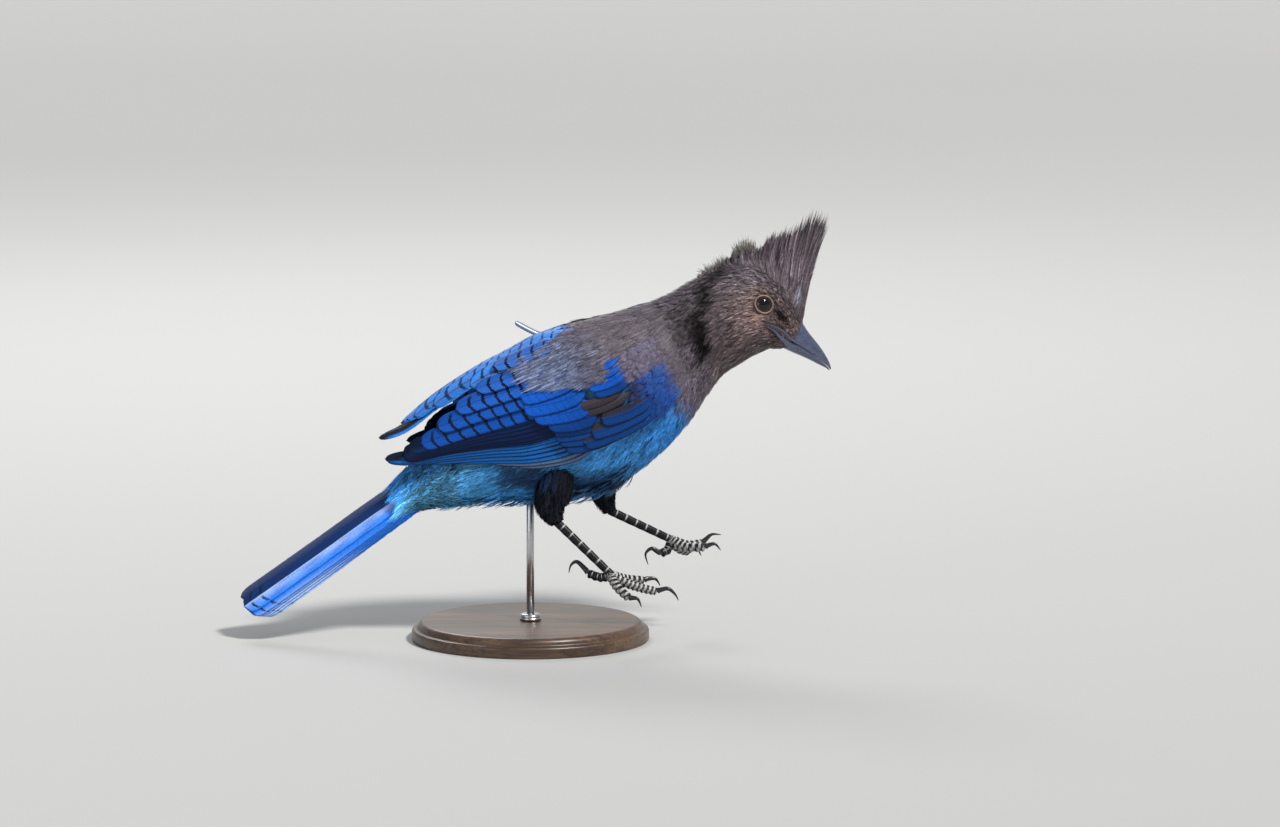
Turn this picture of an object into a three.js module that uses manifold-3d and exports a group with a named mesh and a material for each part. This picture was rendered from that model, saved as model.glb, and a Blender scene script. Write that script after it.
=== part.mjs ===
// A life-size long-crested blue and black jay in mid-leap, its feet reaching forward, on a plain stand.
// Millimetres, +Z up, the bird facing +X with its right side towards -Y.
// The origin is the centre of the stand's underside.

import * as THREE from "three";
import { mergeVertices } from "three/addons/utils/BufferGeometryUtils.js";
import Module from "manifold-3d";

const wasm = await Module();
wasm.setup();

// Clearances and thicknesses shared by every piece

const GAP = 0.3;
const SLACK = 0.05;
const VANE_THICK = 0.55;
const TIP_THICK = 0.33;
const BODY_SIDES = 24;
const RAD = Math.PI / 180;

// The body in cross-sections, from the tail base to the bill base.
// Each row: highest point x, z, lowest point x, z, half width, roll towards the right side in degrees.

const BODY = [
  [-59, 78, -55.5, 66, 7.6, 24],
  [-51.5, 84, -47, 64.5, 10, 19],
  [-42.5, 90.5, -39, 65, 12, 15],
  [-35, 98, -29.5, 66, 15, 13],
  [-24.5, 110, -14, 66.5, 19, 11],
  [-12.5, 124.5, 7, 67, 21.5, 10],
  [-1, 138.5, 28, 68, 23.5, 10],
  [15, 148, 46, 76, 24, 10],
  [33, 153, 62.5, 89, 23, 10],
  [49.5, 158, 75, 103.5, 20.5, 9],
  [65, 164.5, 83, 115.5, 17.5, 7],
  [78.5, 172, 90, 125.5, 15.5, 4],
  [93, 177.5, 98, 131, 16, 2],
  [106.5, 178.5, 104.5, 135, 15.5, 1],
  [117, 173, 110, 137.5, 13, 0],
  [124.5, 163, 113.5, 138.5, 10, 0],
  [128.5, 149.5, 119.5, 138, 6.6, 0],
];
const TAIL_CUT = 1.9;
const RUMP_CUT = 3.6;
const NECK_CUT = 9.5;
const HEAD_CUT = 11.4;
const BILL_CUT = 16;
const CUT = 0.024;
const HEAD_CUT_WIDTH = 0.032;

// The surface that the folded wings lie on, from the wing tips to the shoulders, in rows like the body's

const WING_BED = [
  [-74.5, 98, -68, 80, 10, 14],
  [-59, 103.5, -51.5, 80, 14, 13],
  [-42.5, 116.5, -33, 76, 18, 12],
  [-24.5, 128.5, -12, 71.5, 22, 11],
  [-9.5, 136.5, 8.5, 67.5, 24.3, 10],
  [4.5, 144.5, 33, 68.5, 25.4, 10],
  [16.5, 149.5, 48, 76, 25.6, 10],
  [33.5, 154, 63.5, 88.5, 24.6, 10],
  [50, 159, 76, 103, 22.4, 9],
  [65.5, 165, 84, 115, 19.4, 7],
];

// The pad of the folded arm, an oval on the wing bed: its middle and half extents in stations and degrees

const ARM = { station: 6.5, angle: 18, stations: 1.95, degrees: 44, edge: 0.2, height: 4, depth: 5 };
const ARM_SPOKES = 16;
const ARM_DOME = [1, 0.88, 0.62, 0.25];
const ARM_ROOT = [0.4, 0.85];

// Rows of wing feathers on the bed. A root or tip is [station, angle above the side], from the lowest feather
// of the row to the highest, and is spread evenly between two ends or given feather by feather. Each feather
// leaves the arm at the first lift above the bed and lies at the second, over the row before it.

const WING_BOW = -2;

const WING_ROWS = {
  primaries: {
    roots: [[5.6, -15], [5.2, 4]],
    tips: [[3.2, -19], [1.9, -16], [0.9, -11], [0.13, -4], [0.3, 8], [0.7, 19]],
    half: 4,
    tilt: 20,
    lift: [1.6, 2],
  },
  secondaries: {
    roots: [[5.5, 9], [5.5, 27]],
    tips: [[1, 26], [1.15, 33], [1.25, 40], [1.3, 47]],
    half: 4.6,
    tilt: 18,
    lift: [1.3, 2.1],
    step: 0.15,
  },
  tertials: {
    roots: [[5.8, 29], [6, 43]],
    tips: [[1.6, 48], [2.3, 54], [3, 60]],
    half: 5.2,
    tilt: 8,
    lift: [1.3, 3.6],
    step: 0.95,
  },
  primary_coverts: {
    roots: [[6.9, -16], [6.7, -5]],
    tips: [[5, -16], [4.7, -8], [4.5, 1]],
    half: 3.2,
    tilt: 12,
    lift: [2.2, 4.2],
  },
  greater_coverts: {
    roots: [[6.7, 3], [6.2, 42]],
    tips: [[4.5, 7], [4.3, 17], [4.2, 27], [4.1, 37], [4.1, 47]],
    half: 4.4,
    tilt: 10,
    lift: [2.6, 5.2],
  },
  alula: {
    roots: [[7.4, -12], [7.3, -5]],
    tips: [[5.4, -12], [5.9, -3]],
    half: 3.2,
    tilt: 10,
    lift: [2.6, 5.4],
  },
  median_coverts: {
    roots: [[7.2, 5], [6.9, 42]],
    tips: [[5.7, 8], [5.6, 20], [5.5, 32], [5.4, 44]],
    half: 4.2,
    tilt: 9,
    lift: [3, 6.6],
  },
};

// The tail: six feathers a side under one ridge line, the middle pair on top. A feather's shape is its share
// of the half width at each stop along it. The whole tail is rolled towards the right side.

const TAIL_RIDGE = [[-50, 78.5], [-72, 64], [-104, 41], [-136.5, 18]];
const TAIL_ROLL = 30;
const TAIL_PAIRS = 6;
const TAIL_VANE = {
  stops: [0, 0.28, 0.65, 0.94, 1],
  shape: [0.3, 0.85, 1, 0.9, 0.3],
  half: 6.2,
  layer: 0.85,
  roof: 13,
  fan: 0.6,
  graduation: 0.014,
  overlap: 2.7,
  quill: 1.2,
};
const TAIL_COVERTS = { angles: [25, 90, 155], half: 4.4, root: 0.45, tips: [1.75, 2], lifts: [0.1, 1.2] };

// The sleeve that the tail's coverts lie on, in rows like the body's

const TAIL_SLEEVE = [
  [-49, 82, -46.5, 66.5, 8, 20],
  [-59.5, 76.2, -56.4, 67, 6.2, 26],
  [-79, 60.8, -73.5, 52, 13.6, 30],
];

// The crest: feathers in ranks along the crown, from the bill base to the nape, and in files across it

const CREST_ROOTS = [[127, 151], [124.6, 161.5], [118, 169.5], [110, 175], [100, 176], [84, 171]];
const CREST_TIPS = [[139.5, 200.5], [134.5, 202.5], [124, 195], [113.5, 190], [98.5, 191.5], [80.5, 176.5]];
const CREST_RANKS = 10;
const CREST = {
  half: 3,
  shortHalf: 2.55,
  shortLength: 25,
  rootSpread: 2.4,
  tipSpread: 1.4,
  rootRise: 0.12,
  outerShorter: 0.16,
  tilt: 7,
  stagger: 0.03,
};
const CREST_STOPS = [0, 0.4, 0.8, 1];
const CREST_SHAPE = [0.75, 1, 0.8, 0.2];
const CREST_CORE = { half: 5.6, shoulder: 0.55, shoulderHeight: 0.6, sink: 3, height: 0.4 };

// The bill in sections from its base to its tip.
// Each row: mouth line x, z, ridge x, z, underside x, z, half width.

const BILL = [
  [123.2, 142.1, 128.8, 149.2, 119.9, 138, 5.3],
  [126.4, 139.9, 130.8, 146.1, 123.6, 136.3, 4.6],
  [129.9, 137.6, 133.3, 142.9, 127.9, 134.5, 3.8],
  [133.3, 135.3, 135.9, 139.6, 132, 132.6, 2.9],
  [136.6, 132.7, 138.3, 136, 135.9, 130.6, 2],
  [139.4, 130.2, 140.4, 132.2, 138.8, 129.2, 1.1],
  [141, 128.3, 141.5, 128.9, 140.3, 128.1, 0.3],
];
const GAPE = [111, 149.5];
const MOUTH_HALF_GAP = 0.15;
const GAPE_GROOVE = { height: 0.7, depth: 1.3, width: 40 };
const NOSTRIL = { station: 1, rise: 0.5, forward: 1, out: 0.84, radius: 0.7, length: 1.6 };

// Bristles over the nostrils: the middle one's root and tip, and how the next ones outwards step back.
// A bristle faces forwards, to its side and up: aside is that share for the middle one and for each next one.

const BRISTLES = {
  count: 3,
  half: 1.5,
  arch: 1.3,
  root: [123.5, 152],
  tip: [129, 143.2],
  rootStep: [-1.7, -2.7],
  tipStep: [-2.5, 0.2],
  first: 1.4,
  spread: 2.2,
  forward: 0.8,
  aside: [0.3, 0.5],
  up: 0.6,
};

// Eyes, set on the body's sections

const EYE = { station: 13.45, angle: 13, radius: 4.4, proud: 0.9, opening: 3.75, lid: 0.75, overlap: 0.2 };

// Legs. The right one hangs lower, the left one reaches further forward.
// A toe's points run from the ball of the foot, and its claw's from the toe's end to the claw's tip.

const LEGS = {
  right: {
    thigh: [[14, -12, 84], [12, -13.5, 74], [9.8, -14, 66.5], [11, -14.6, 61.5], [12.9, -15, 57.8]],
    thighRadii: [9.5, 9, 7.6, 5.2, 2.9],
    heel: [12.6, -15, 58.2],
    ball: [38.1, -19, 34],
    toes: {
      hind: {
        path: [[37, -18.4, 33.2], [32.9, -17, 32.4], [27.4, -15.2, 34]],
        claw: [[25.8, -14.6, 36], [22.1, -14, 39.2], [19.3, -14, 37.6], [18.3, -14, 33.8]],
      },
      inner: {
        path: [[39, -17.5, 33.4], [45.5, -12.5, 30.9], [53.6, -9, 29.6]],
        claw: [[55.3, -8.4, 30.2], [59, -8, 30], [61.2, -8, 26.8]],
      },
      middle: {
        path: [[39.2, -19, 33], [46, -18.6, 29.6], [53, -18.8, 27.4], [59.6, -19, 26]],
        claw: [[61.3, -19, 26.7], [65, -19, 27.2], [68.1, -19, 24.6], [69.8, -19, 21.6]],
      },
      outer: {
        path: [[38.5, -20, 32.6], [41.4, -24.4, 28.6], [46.6, -28.4, 24.4]],
        claw: [[48.2, -29.3, 24.6], [50.8, -30, 24], [52.4, -30.2, 20.3]],
      },
    },
  },
  left: {
    thigh: [[36, 11, 84], [35, 12, 77], [34, 12.6, 69.5], [35.4, 13.4, 63.5], [37.4, 14, 59]],
    thighRadii: [9, 8, 6.4, 4.4, 2.8],
    heel: [37.2, 14, 59.2],
    ball: [66.7, 20, 44.2],
    toes: {
      hind: {
        path: [[66.2, 19.2, 42.8], [64.6, 17, 39.9], [61.6, 15, 38.6]],
        claw: [[59.9, 14.4, 39.6], [57, 14, 41], [54.3, 14, 38.2], [55.6, 14, 33.2]],
      },
      inner: {
        path: [[67.4, 18.8, 43.6], [73.5, 15.6, 41.5], [82.4, 12.2, 42]],
        claw: [[84, 11.6, 43], [87.2, 11, 43.6], [89.9, 11, 40.6]],
      },
      middle: {
        path: [[68, 20.2, 43.8], [74.6, 21.6, 41.6], [81.4, 24, 42.2]],
        claw: [[82.8, 24.6, 43.6], [85.8, 25, 46], [90.2, 25, 45.9]],
      },
      outer: {
        path: [[67, 21.4, 42.8], [70.6, 26.4, 38.8], [74.6, 30.8, 37]],
        claw: [[76.2, 32, 37.4], [79, 33, 37.6], [80.8, 33.4, 34.4]],
      },
    },
  },
};
const THIGH = { sides: 14, flat: 0.85 };
const TARSUS = { root: 2, end: 1.84, flat: 0.78, sides: 7, scutes: 7, ridge: 0.28, ball: 2.9 };
const TOE = { root: 1.9, end: 1.5, sides: 7, scutes: 4, ridge: 0.22 };
const CLAW = { root: 1.15, tip: 0.25, sides: 6, rings: 6 };

// The display stand. The rod's top is the height that it would reach if the belly didn't end it.

const STAND = { radius: 56, thick: 9, bevel: 1.6, sides: 40 };
const ROD = { radius: 1.8, top: 90, sides: 16 };
const COLLAR = { radius: 5, height: 3, lip: 0.8, sides: 16 };

const MATERIALS = {
  slate: new THREE.MeshStandardMaterial({ color: 0x3a3434, roughness: 0.85, metalness: 0 }),
  sky: new THREE.MeshStandardMaterial({ color: 0x2c7fc4, roughness: 0.8, metalness: 0 }),
  cobalt: new THREE.MeshStandardMaterial({ color: 0x1246b8, roughness: 0.6, metalness: 0 }),
  black: new THREE.MeshStandardMaterial({ color: 0x15151a, roughness: 0.8, metalness: 0 }),
  horn: new THREE.MeshStandardMaterial({ color: 0x1a1c24, roughness: 0.3, metalness: 0 }),
  scale: new THREE.MeshStandardMaterial({ color: 0x2a2a30, roughness: 0.55, metalness: 0 }),
  eye: new THREE.MeshStandardMaterial({ color: 0x0a0807, roughness: 0.05, metalness: 0 }),
  wood: new THREE.MeshStandardMaterial({ color: 0x3b2a1e, roughness: 0.5, metalness: 0 }),
  steel: new THREE.MeshStandardMaterial({ color: 0xa8a8aa, roughness: 0.3, metalness: 1 }),
};

// Small maths

const lerp = THREE.MathUtils.lerp;
const vec = (p) => new THREE.Vector3(...p);
const inPlane = ([x, z], y = 0) => new THREE.Vector3(x, y, z);
const LEFT = new THREE.Vector3(0, 1, 0);

// A smooth value at t along rows of numbers, passing through each row
function along(rows, t) {
  const last = rows.length - 1;
  const i = Math.min(Math.max(Math.floor(t), 0), last - 1);
  const f = t - i;
  const a = rows[Math.max(i - 1, 0)];
  const b = rows[i];
  const c = rows[i + 1];
  const d = rows[Math.min(i + 2, last)];
  return b.map((value, k) => {
    const slope = c[k] - a[k];
    const bend = 2 * a[k] - 5 * value + 4 * c[k] - d[k];
    const turn = 3 * value - a[k] - 3 * c[k] + d[k];
    return 0.5 * (2 * value + f * (slope + f * (bend + f * turn)));
  });
}

// The same at a share from 0 to 1 of the whole length
const alongShare = (rows, share) => along(rows, share * (rows.length - 1));

// Even steps from one value to another, both included
function steps(from, to, count) {
  return Array.from({ length: count + 1 }, (_, i) => lerp(from, to, i / count));
}

// Solids

// A three.js geometry as a manifold solid with its faces pointing out
function solidOf(geometry) {
  const bare = geometry.clone();
  bare.deleteAttribute("normal");
  bare.deleteAttribute("uv");
  const merged = mergeVertices(bare, 1e-4);
  const vertProperties = merged.attributes.position.array;
  const triVerts = new Uint32Array(merged.index.array);
  const made = new wasm.Manifold(new wasm.Mesh({ numProp: 3, vertProperties, triVerts }));
  if (made.volume() > 0) {
    return made;
  }
  return new wasm.Manifold(new wasm.Mesh({ numProp: 3, vertProperties, triVerts: triVerts.reverse() }));
}

// A closed solid through rings of points, all with the same count, with a fan over each end.
// From side number turned on, each wall panel is split along its other diagonal.
function ringSolid(rings, turned = Infinity) {
  const sides = rings[0].length;
  const points = rings.flat();
  const faces = [];
  for (let i = 0; i < rings.length - 1; i++) {
    for (let j = 0; j < sides; j++) {
      const a = i * sides + j;
      const b = i * sides + ((j + 1) % sides);
      const c = b + sides;
      const d = a + sides;
      faces.push(...(j < turned ? [a, b, c, a, c, d] : [a, b, d, b, c, d]));
    }
  }
  for (const [ring, outward] of [[0, false], [rings.length - 1, true]]) {
    const corner = (j) => ring * sides + (j % sides);
    if (sides === 4) {
      const [a, b, c, d] = [0, 1, 2, 3].map(corner);
      faces.push(...(outward ? [a, b, c, a, c, d] : [c, b, a, d, c, a]));
      continue;
    }
    const middle = points.length;
    const centre = new THREE.Vector3();
    rings[ring].forEach((p) => centre.add(p));
    points.push(centre.divideScalar(sides));
    for (let j = 0; j < sides; j++) {
      const [a, b] = [corner(j), corner(j + 1)];
      faces.push(...(outward ? [a, b, middle] : [b, a, middle]));
    }
  }
  const geometry = new THREE.BufferGeometry().setFromPoints(points);
  geometry.setIndex(faces);
  return solidOf(geometry);
}

const joined = (solids) => wasm.Manifold.union(solids);

// The largest closed body of a solid, which drops loose scraps
function largest(solid) {
  return solid.decompose().reduce((a, b) => (a.volume() > b.volume() ? a : b));
}

// One named mesh, cut clear of its neighbours' enlarged solids
function piece(name, solid, material, clear = []) {
  const cut = largest(clear.reduce((rest, other) => rest.subtract(other), solid));
  const { vertProperties, triVerts } = cut.getMesh();
  const geometry = new THREE.BufferGeometry();
  geometry.setAttribute("position", new THREE.BufferAttribute(vertProperties, 3));
  geometry.setIndex(new THREE.BufferAttribute(triVerts, 1));
  const mesh = new THREE.Mesh(geometry, material);
  mesh.name = name;
  return mesh;
}

// A tube along points with a radius at each, and with as many sides as asked.
// Its section is squashed by flat across the side direction.
function tube(points, radii, sides, flat = 1) {
  const rings = points.map((p, i) => {
    const ahead = points[Math.min(i + 1, points.length - 1)];
    const behind = points[Math.max(i - 1, 0)];
    const tangent = ahead.clone().sub(behind).normalize();
    const across = LEFT.clone().addScaledVector(tangent, -LEFT.dot(tangent)).normalize();
    const up = tangent.clone().cross(across);
    return Array.from({ length: sides }, (_, j) => {
      const angle = (2 * Math.PI * j) / sides;
      const out = across.clone().multiplyScalar(Math.cos(angle) * flat);
      return p.clone().add(out.addScaledVector(up, Math.sin(angle)).multiplyScalar(radii[i]));
    });
  });
  return ringSolid(rings);
}

// A feather's vane: a thin plate along points, facing along normals, with a half width at each point.
// The plate turns about its length by tilt, which sends the edge on the across side out, and thins at the tip.
function vane(points, normals, halves, tilt) {
  const rings = points.map((p, i) => {
    const ahead = points[Math.min(i + 1, points.length - 1)];
    const behind = points[Math.max(i - 1, 0)];
    const tangent = ahead.clone().sub(behind).normalize();
    const across = normals[i].clone().cross(tangent).normalize();
    const face = tangent.clone().cross(across);
    across.applyAxisAngle(tangent, tilt);
    face.applyAxisAngle(tangent, tilt);
    const half = (i === points.length - 1 ? TIP_THICK : VANE_THICK) / 2;
    const corner = (side, height) =>
      p.clone().addScaledVector(across, side * halves[i]).addScaledVector(face, height);
    return [corner(-1, half), corner(1, half), corner(1, -half), corner(-1, -half)];
  });
  return ringSolid(rings, 2);
}

// Share of the full half width along a vane, from its narrow quill to its rounded end
const VANE_STOPS = [0, 0.3, 0.65, 0.91, 1];
const VANE_SHAPE = [0.45, 0.95, 1, 0.75, 0.25];

// Cross-sections joined smoothly, with a place for whatever lies on them

class Loft {
  constructor(rows) {
    this.rows = rows;
  }

  // The middle of the section at a station, and its half axes up and to the left
  section(station, grow = 0) {
    const [upX, upZ, lowX, lowZ, half, roll] = along(this.rows, station);
    const centre = new THREE.Vector3((upX + lowX) / 2, 0, (upZ + lowZ) / 2);
    const rise = new THREE.Vector3(upX - lowX, 0, upZ - lowZ).multiplyScalar(0.5);
    const height = rise.length() + grow;
    rise.normalize();
    const axis = rise.clone().cross(LEFT);
    const up = rise.applyAxisAngle(axis, -roll * RAD).multiplyScalar(height);
    const left = LEFT.clone().applyAxisAngle(axis, -roll * RAD).multiplyScalar(half + grow);
    return { centre, up, left };
  }

  // A point at a station and an angle above the side, on the left for side 1 and on the right for side -1
  point(station, angle, side, lift = 0) {
    const { centre, up, left } = this.section(station);
    const p = centre.addScaledVector(up, Math.sin(angle * RAD));
    p.addScaledVector(left, side * Math.cos(angle * RAD));
    return lift ? p.addScaledVector(this.normal(station, angle, side), lift) : p;
  }

  normal(station, angle, side) {
    const ahead = this.point(station + 0.05, angle, side).sub(this.point(station - 0.05, angle, side));
    const around = this.point(station, angle + 1, side).sub(this.point(station, angle - 1, side));
    return ahead.cross(around).multiplyScalar(-side).normalize();
  }

  // The solid between two stations, enlarged by grow
  solid(stations, grow = 0, sides = BODY_SIDES) {
    const rings = stations.map((station) => {
      const { centre, up, left } = this.section(station, grow);
      return Array.from({ length: sides }, (_, j) => {
        const angle = (2 * Math.PI * j) / sides;
        return centre.clone().addScaledVector(left, Math.cos(angle)).addScaledVector(up, Math.sin(angle));
      });
    });
    return ringSolid(rings);
  }

  // A vane lying on the surface from root to tip, both [station, angle]
  vane(side, root, tip, { half, tilt, lift, bow = 0 }) {
    const at = (share) => {
      const angle = lerp(root[1], tip[1], share) + bow * Math.sin(Math.PI * share);
      return [lerp(root[0], tip[0], share), angle, side];
    };
    const rise = (share) => lerp(lift[0], lift[1], Math.min(1, share / VANE_STOPS[1]));
    const points = VANE_STOPS.map((share) => this.point(...at(share), rise(share)));
    const normals = VANE_STOPS.map((share) => this.normal(...at(share)));
    const halves = VANE_SHAPE.map((share) => share * half);
    return vane(points, normals, halves, -side * tilt * RAD);
  }
}

const body = new Loft(BODY);
const bed = new Loft(WING_BED);
const sleeve = new Loft(TAIL_SLEEVE);

// Torso, neck, head and rump are one form parted by thin cuts

const TAIL_BASE = steps(0, TAIL_CUT - CUT, 3);
const RUMP = steps(TAIL_CUT, RUMP_CUT - CUT, 4);
const TORSO = steps(RUMP_CUT, NECK_CUT - CUT, 12);
const NECK = steps(NECK_CUT, HEAD_CUT - HEAD_CUT_WIDTH, 4);
const HEAD = steps(HEAD_CUT, BILL_CUT, 10);

// The body's form with room round it, which trims whatever grows from it
const bodyRoom = body.solid([...TAIL_BASE, ...RUMP, ...TORSO, ...NECK, ...HEAD], GAP + SLACK);

// Eyes: a ball each in its socket, ringed by a lid

function eyeCentre(side) {
  return body.point(EYE.station, EYE.angle, side, EYE.proud - EYE.radius);
}

function eyeBall(side, grow = 0) {
  const ball = new THREE.SphereGeometry(EYE.radius + grow, 14, 9);
  return solidOf(ball.translate(...eyeCentre(side).toArray()));
}

function eyeLid(side) {
  const outward = body.normal(EYE.station, EYE.angle, side);
  const reach = Math.sqrt(EYE.radius ** 2 - EYE.opening ** 2);
  const ring = new THREE.TorusGeometry(EYE.opening + EYE.overlap, EYE.lid, 6, 14);
  ring.applyQuaternion(new THREE.Quaternion().setFromUnitVectors(new THREE.Vector3(0, 0, 1), outward));
  return solidOf(ring.translate(...eyeCentre(side).addScaledVector(outward, reach).toArray()));
}

// The bill: two halves that meet along the mouth line. An edge is the place of its x in a section's row.

const RIDGE = 2;
const UNDERSIDE = 4;

function billHalf(edge, lift, grow = 0) {
  const rings = BILL.map((row) => {
    const mouth = inPlane([row[0], row[1]]);
    const out = inPlane([row[edge], row[edge + 1]]).sub(mouth);
    const height = out.length() + grow;
    out.normalize();
    const half = row[6] + grow;
    return Array.from({ length: 9 }, (_, j) => {
      const angle = (Math.PI * j) / 8;
      const p = mouth.clone().addScaledVector(out, lift + (height - lift) * Math.sin(angle));
      p.y = half * Math.cos(angle);
      return p;
    });
  });
  return ringSolid(rings);
}

function nostrils() {
  const { station, rise, forward, out, radius, length } = NOSTRIL;
  const [mouthX, mouthZ, ridgeX, ridgeZ, , , half] = BILL[station];
  const pit = new THREE.SphereGeometry(radius, 8, 6).scale(length, 1, 1);
  pit.translate(lerp(mouthX, ridgeX, rise) + forward, 0, lerp(mouthZ, ridgeZ, rise));
  return [1, -1].map((side) => solidOf(pit.clone().translate(0, side * half * out, 0)));
}

// Stiff bristles that arch forward from the forehead over each nostril
function bristle(side, i) {
  const { half, arch, root, tip, rootStep, tipStep, first, spread, forward, aside, up } = BRISTLES;
  const y = side * (first + i * spread);
  const from = inPlane([root[0] + i * rootStep[0], root[1] + i * rootStep[1]], y);
  const to = inPlane([tip[0] + i * tipStep[0], tip[1] + i * tipStep[1]], y);
  const out = new THREE.Vector3(forward, side * (aside[0] + aside[1] * i), up).normalize();
  const points = [0, 0.35, 0.7, 1].map((share) => {
    const height = arch * Math.sin(Math.PI * Math.min(1, 0.2 + share));
    return from.clone().lerp(to, share).addScaledVector(out, height);
  });
  return vane(points, points.map(() => out), [1, 1, 0.8, 0.3].map((share) => share * half), 0);
}

// The groove that carries the mouth line back along the cheek to the gape
function gapeGroove(solidHead) {
  const back = inPlane(GAPE);
  const front = inPlane(BILL[0]);
  const run = front.clone().sub(back);
  const slab = new THREE.BoxGeometry(run.length(), GAPE_GROOVE.width, GAPE_GROOVE.height);
  slab.rotateY(Math.atan2(-run.z, run.x));
  slab.translate(...back.add(front).multiplyScalar(0.5).toArray());
  const inner = body.solid(HEAD, -GAPE_GROOVE.depth);
  return solidHead.subtract(solidOf(slab).subtract(inner));
}

function head() {
  const parts = [gapeGroove(body.solid(HEAD))];
  const clear = [RIDGE, UNDERSIDE].map((edge) => billHalf(edge, -MOUTH_HALF_GAP, GAP + SLACK));
  for (const side of [1, -1]) {
    parts.push(eyeLid(side));
    clear.push(eyeBall(side, GAP));
    for (let i = 0; i < BRISTLES.count; i++) {
      parts.push(bristle(side, i));
    }
  }
  return piece("head", joined(parts), MATERIALS.slate, clear);
}

// The crest: a low core along the crown, and feathers that rise from it and close together at their tips

// The crest is widest over the middle of the crown
const crestWidth = (share) => 0.55 + 0.45 * Math.sin(Math.PI * share);

function crestCore() {
  const { half, shoulder, shoulderHeight, sink, height } = CREST_CORE;
  const rings = steps(0, 1, 6).map((share) => {
    const root = inPlane(alongShare(CREST_ROOTS, share));
    const rise = inPlane(alongShare(CREST_TIPS, share)).sub(root);
    const sunk = root.clone().addScaledVector(rise.clone().normalize(), -sink);
    const top = root.clone().addScaledVector(rise, height);
    const side = sunk.clone().lerp(top, shoulderHeight);
    const wide = half * crestWidth(share);
    const across = [[sunk, 1], [side, shoulder], [top, 0], [side, -shoulder], [sunk, -1]];
    return across.map(([place, reach]) => place.clone().setY(reach * wide));
  });
  return ringSolid(rings);
}

// A feather of the crest, in the middle file or in the one to its left or right
function crestVane(share, file) {
  const { half, shortHalf, shortLength, rootSpread, tipSpread, rootRise, outerShorter, tilt } = CREST;
  const root = inPlane(alongShare(CREST_ROOTS, share));
  const tip = inPlane(alongShare(CREST_TIPS, share));
  const rise = tip.clone().sub(root);
  root.addScaledVector(rise, rootRise);
  tip.addScaledVector(rise, -outerShorter * Math.abs(file));
  root.y = file * rootSpread * crestWidth(share);
  tip.y = file * tipSpread;
  const wide = rise.length() > shortLength ? half : shortHalf;
  const points = CREST_STOPS.map((stop) => root.clone().lerp(tip, stop));
  return vane(points, points.map(() => LEFT), CREST_SHAPE.map((part) => part * wide), tilt * RAD);
}

function crest() {
  const parts = [crestCore()];
  for (const file of [-1, 0, 1]) {
    for (const share of steps(0.04, 0.96, CREST_RANKS - 1)) {
      parts.push(crestVane(share + CREST.stagger * file, file));
    }
  }
  return piece("crest", joined(parts), MATERIALS.slate, [bodyRoom]);
}

// Wings

// The domed pad of arm and shoulder, sunk into the body's side, which then trims it
function armPad(side) {
  const { station, angle, stations, degrees, edge, height, depth } = ARM;
  const ring = (radius, lift) =>
    Array.from({ length: ARM_SPOKES }, (_, j) => {
      const turn = (2 * Math.PI * j) / ARM_SPOKES;
      const along = station + stations * radius * Math.cos(turn);
      return bed.point(along, angle + degrees * radius * Math.sin(turn), side, lift);
    });
  const inner = ARM_ROOT.map((radius) => ring(radius, -depth));
  const outer = ARM_DOME.map((radius) => ring(radius, edge + height * Math.sqrt(1 - radius ** 2)));
  return ringSolid([...inner, ...outer]);
}

function wingRow(side, { roots, tips, half, tilt, lift, step = 0 }) {
  return tips.map((tip, i) => {
    const share = i / (tips.length - 1);
    const root = [0, 1].map((k) => lerp(roots[0][k], roots[1][k], share));
    const raised = lift.map((value) => value + step * i);
    return bed.vane(side, root, tip, { half, tilt, lift: raised, bow: WING_BOW });
  });
}

function wing(name, side) {
  const feathers = Object.values(WING_ROWS).flatMap((row) => wingRow(side, row));
  return piece(name, joined([armPad(side), ...feathers]), MATERIALS.cobalt, [bodyRoom]);
}

// The tail

// The ridge at a share of the tail's length: its place, its run, the way across, and the top's facing
function tailFrame(share) {
  const ahead = inPlane(alongShare(TAIL_RIDGE, share + 0.01));
  const run = ahead.sub(inPlane(alongShare(TAIL_RIDGE, share - 0.01))).normalize();
  const left = LEFT.clone().applyAxisAngle(run, -TAIL_ROLL * RAD);
  return { place: inPlane(alongShare(TAIL_RIDGE, share)), run, left, top: left.clone().cross(run) };
}

// One tail feather, sloping down and out from the ridge, and a layer lower for each pair outwards
function tailVane(side, pair) {
  const { stops, shape, half, layer, roof, fan, graduation, overlap, quill } = TAIL_VANE;
  const points = [];
  const normals = [];
  stops.forEach((stop, i) => {
    const { place, run, left, top } = tailFrame(stop * (1 - graduation * pair));
    const out = left.multiplyScalar(side * Math.cos(roof * RAD)).addScaledVector(top, -Math.sin(roof * RAD));
    const inner = fan * pair * stop + (1 - shape[i]) * quill;
    const crossing = side < 0 && pair === 0 ? overlap : 0;
    const depth = layer * (pair + (side > 0 ? 1 : 0));
    place.addScaledVector(top, -depth).addScaledVector(out, half * shape[i] + inner + GAP - crossing);
    points.push(place);
    normals.push(out.cross(run).multiplyScalar(side));
  });
  return vane(points, normals, shape.map((share) => share * half), 0);
}

// Coverts over and under the tail's base
function tailCoverts() {
  const { angles, half, root, tips, lifts } = TAIL_COVERTS;
  return [1, -1].flatMap((above) =>
    angles.map((angle, i) => {
      const reach = lerp(tips[0], tips[1], Math.sin(angle * RAD));
      const lift = lifts[i % 2];
      const options = { half, tilt: 0, lift: [lift - 0.3, lift] };
      return sleeve.vane(1, [root, above * angle], [reach, above * angle], options);
    }));
}

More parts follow.
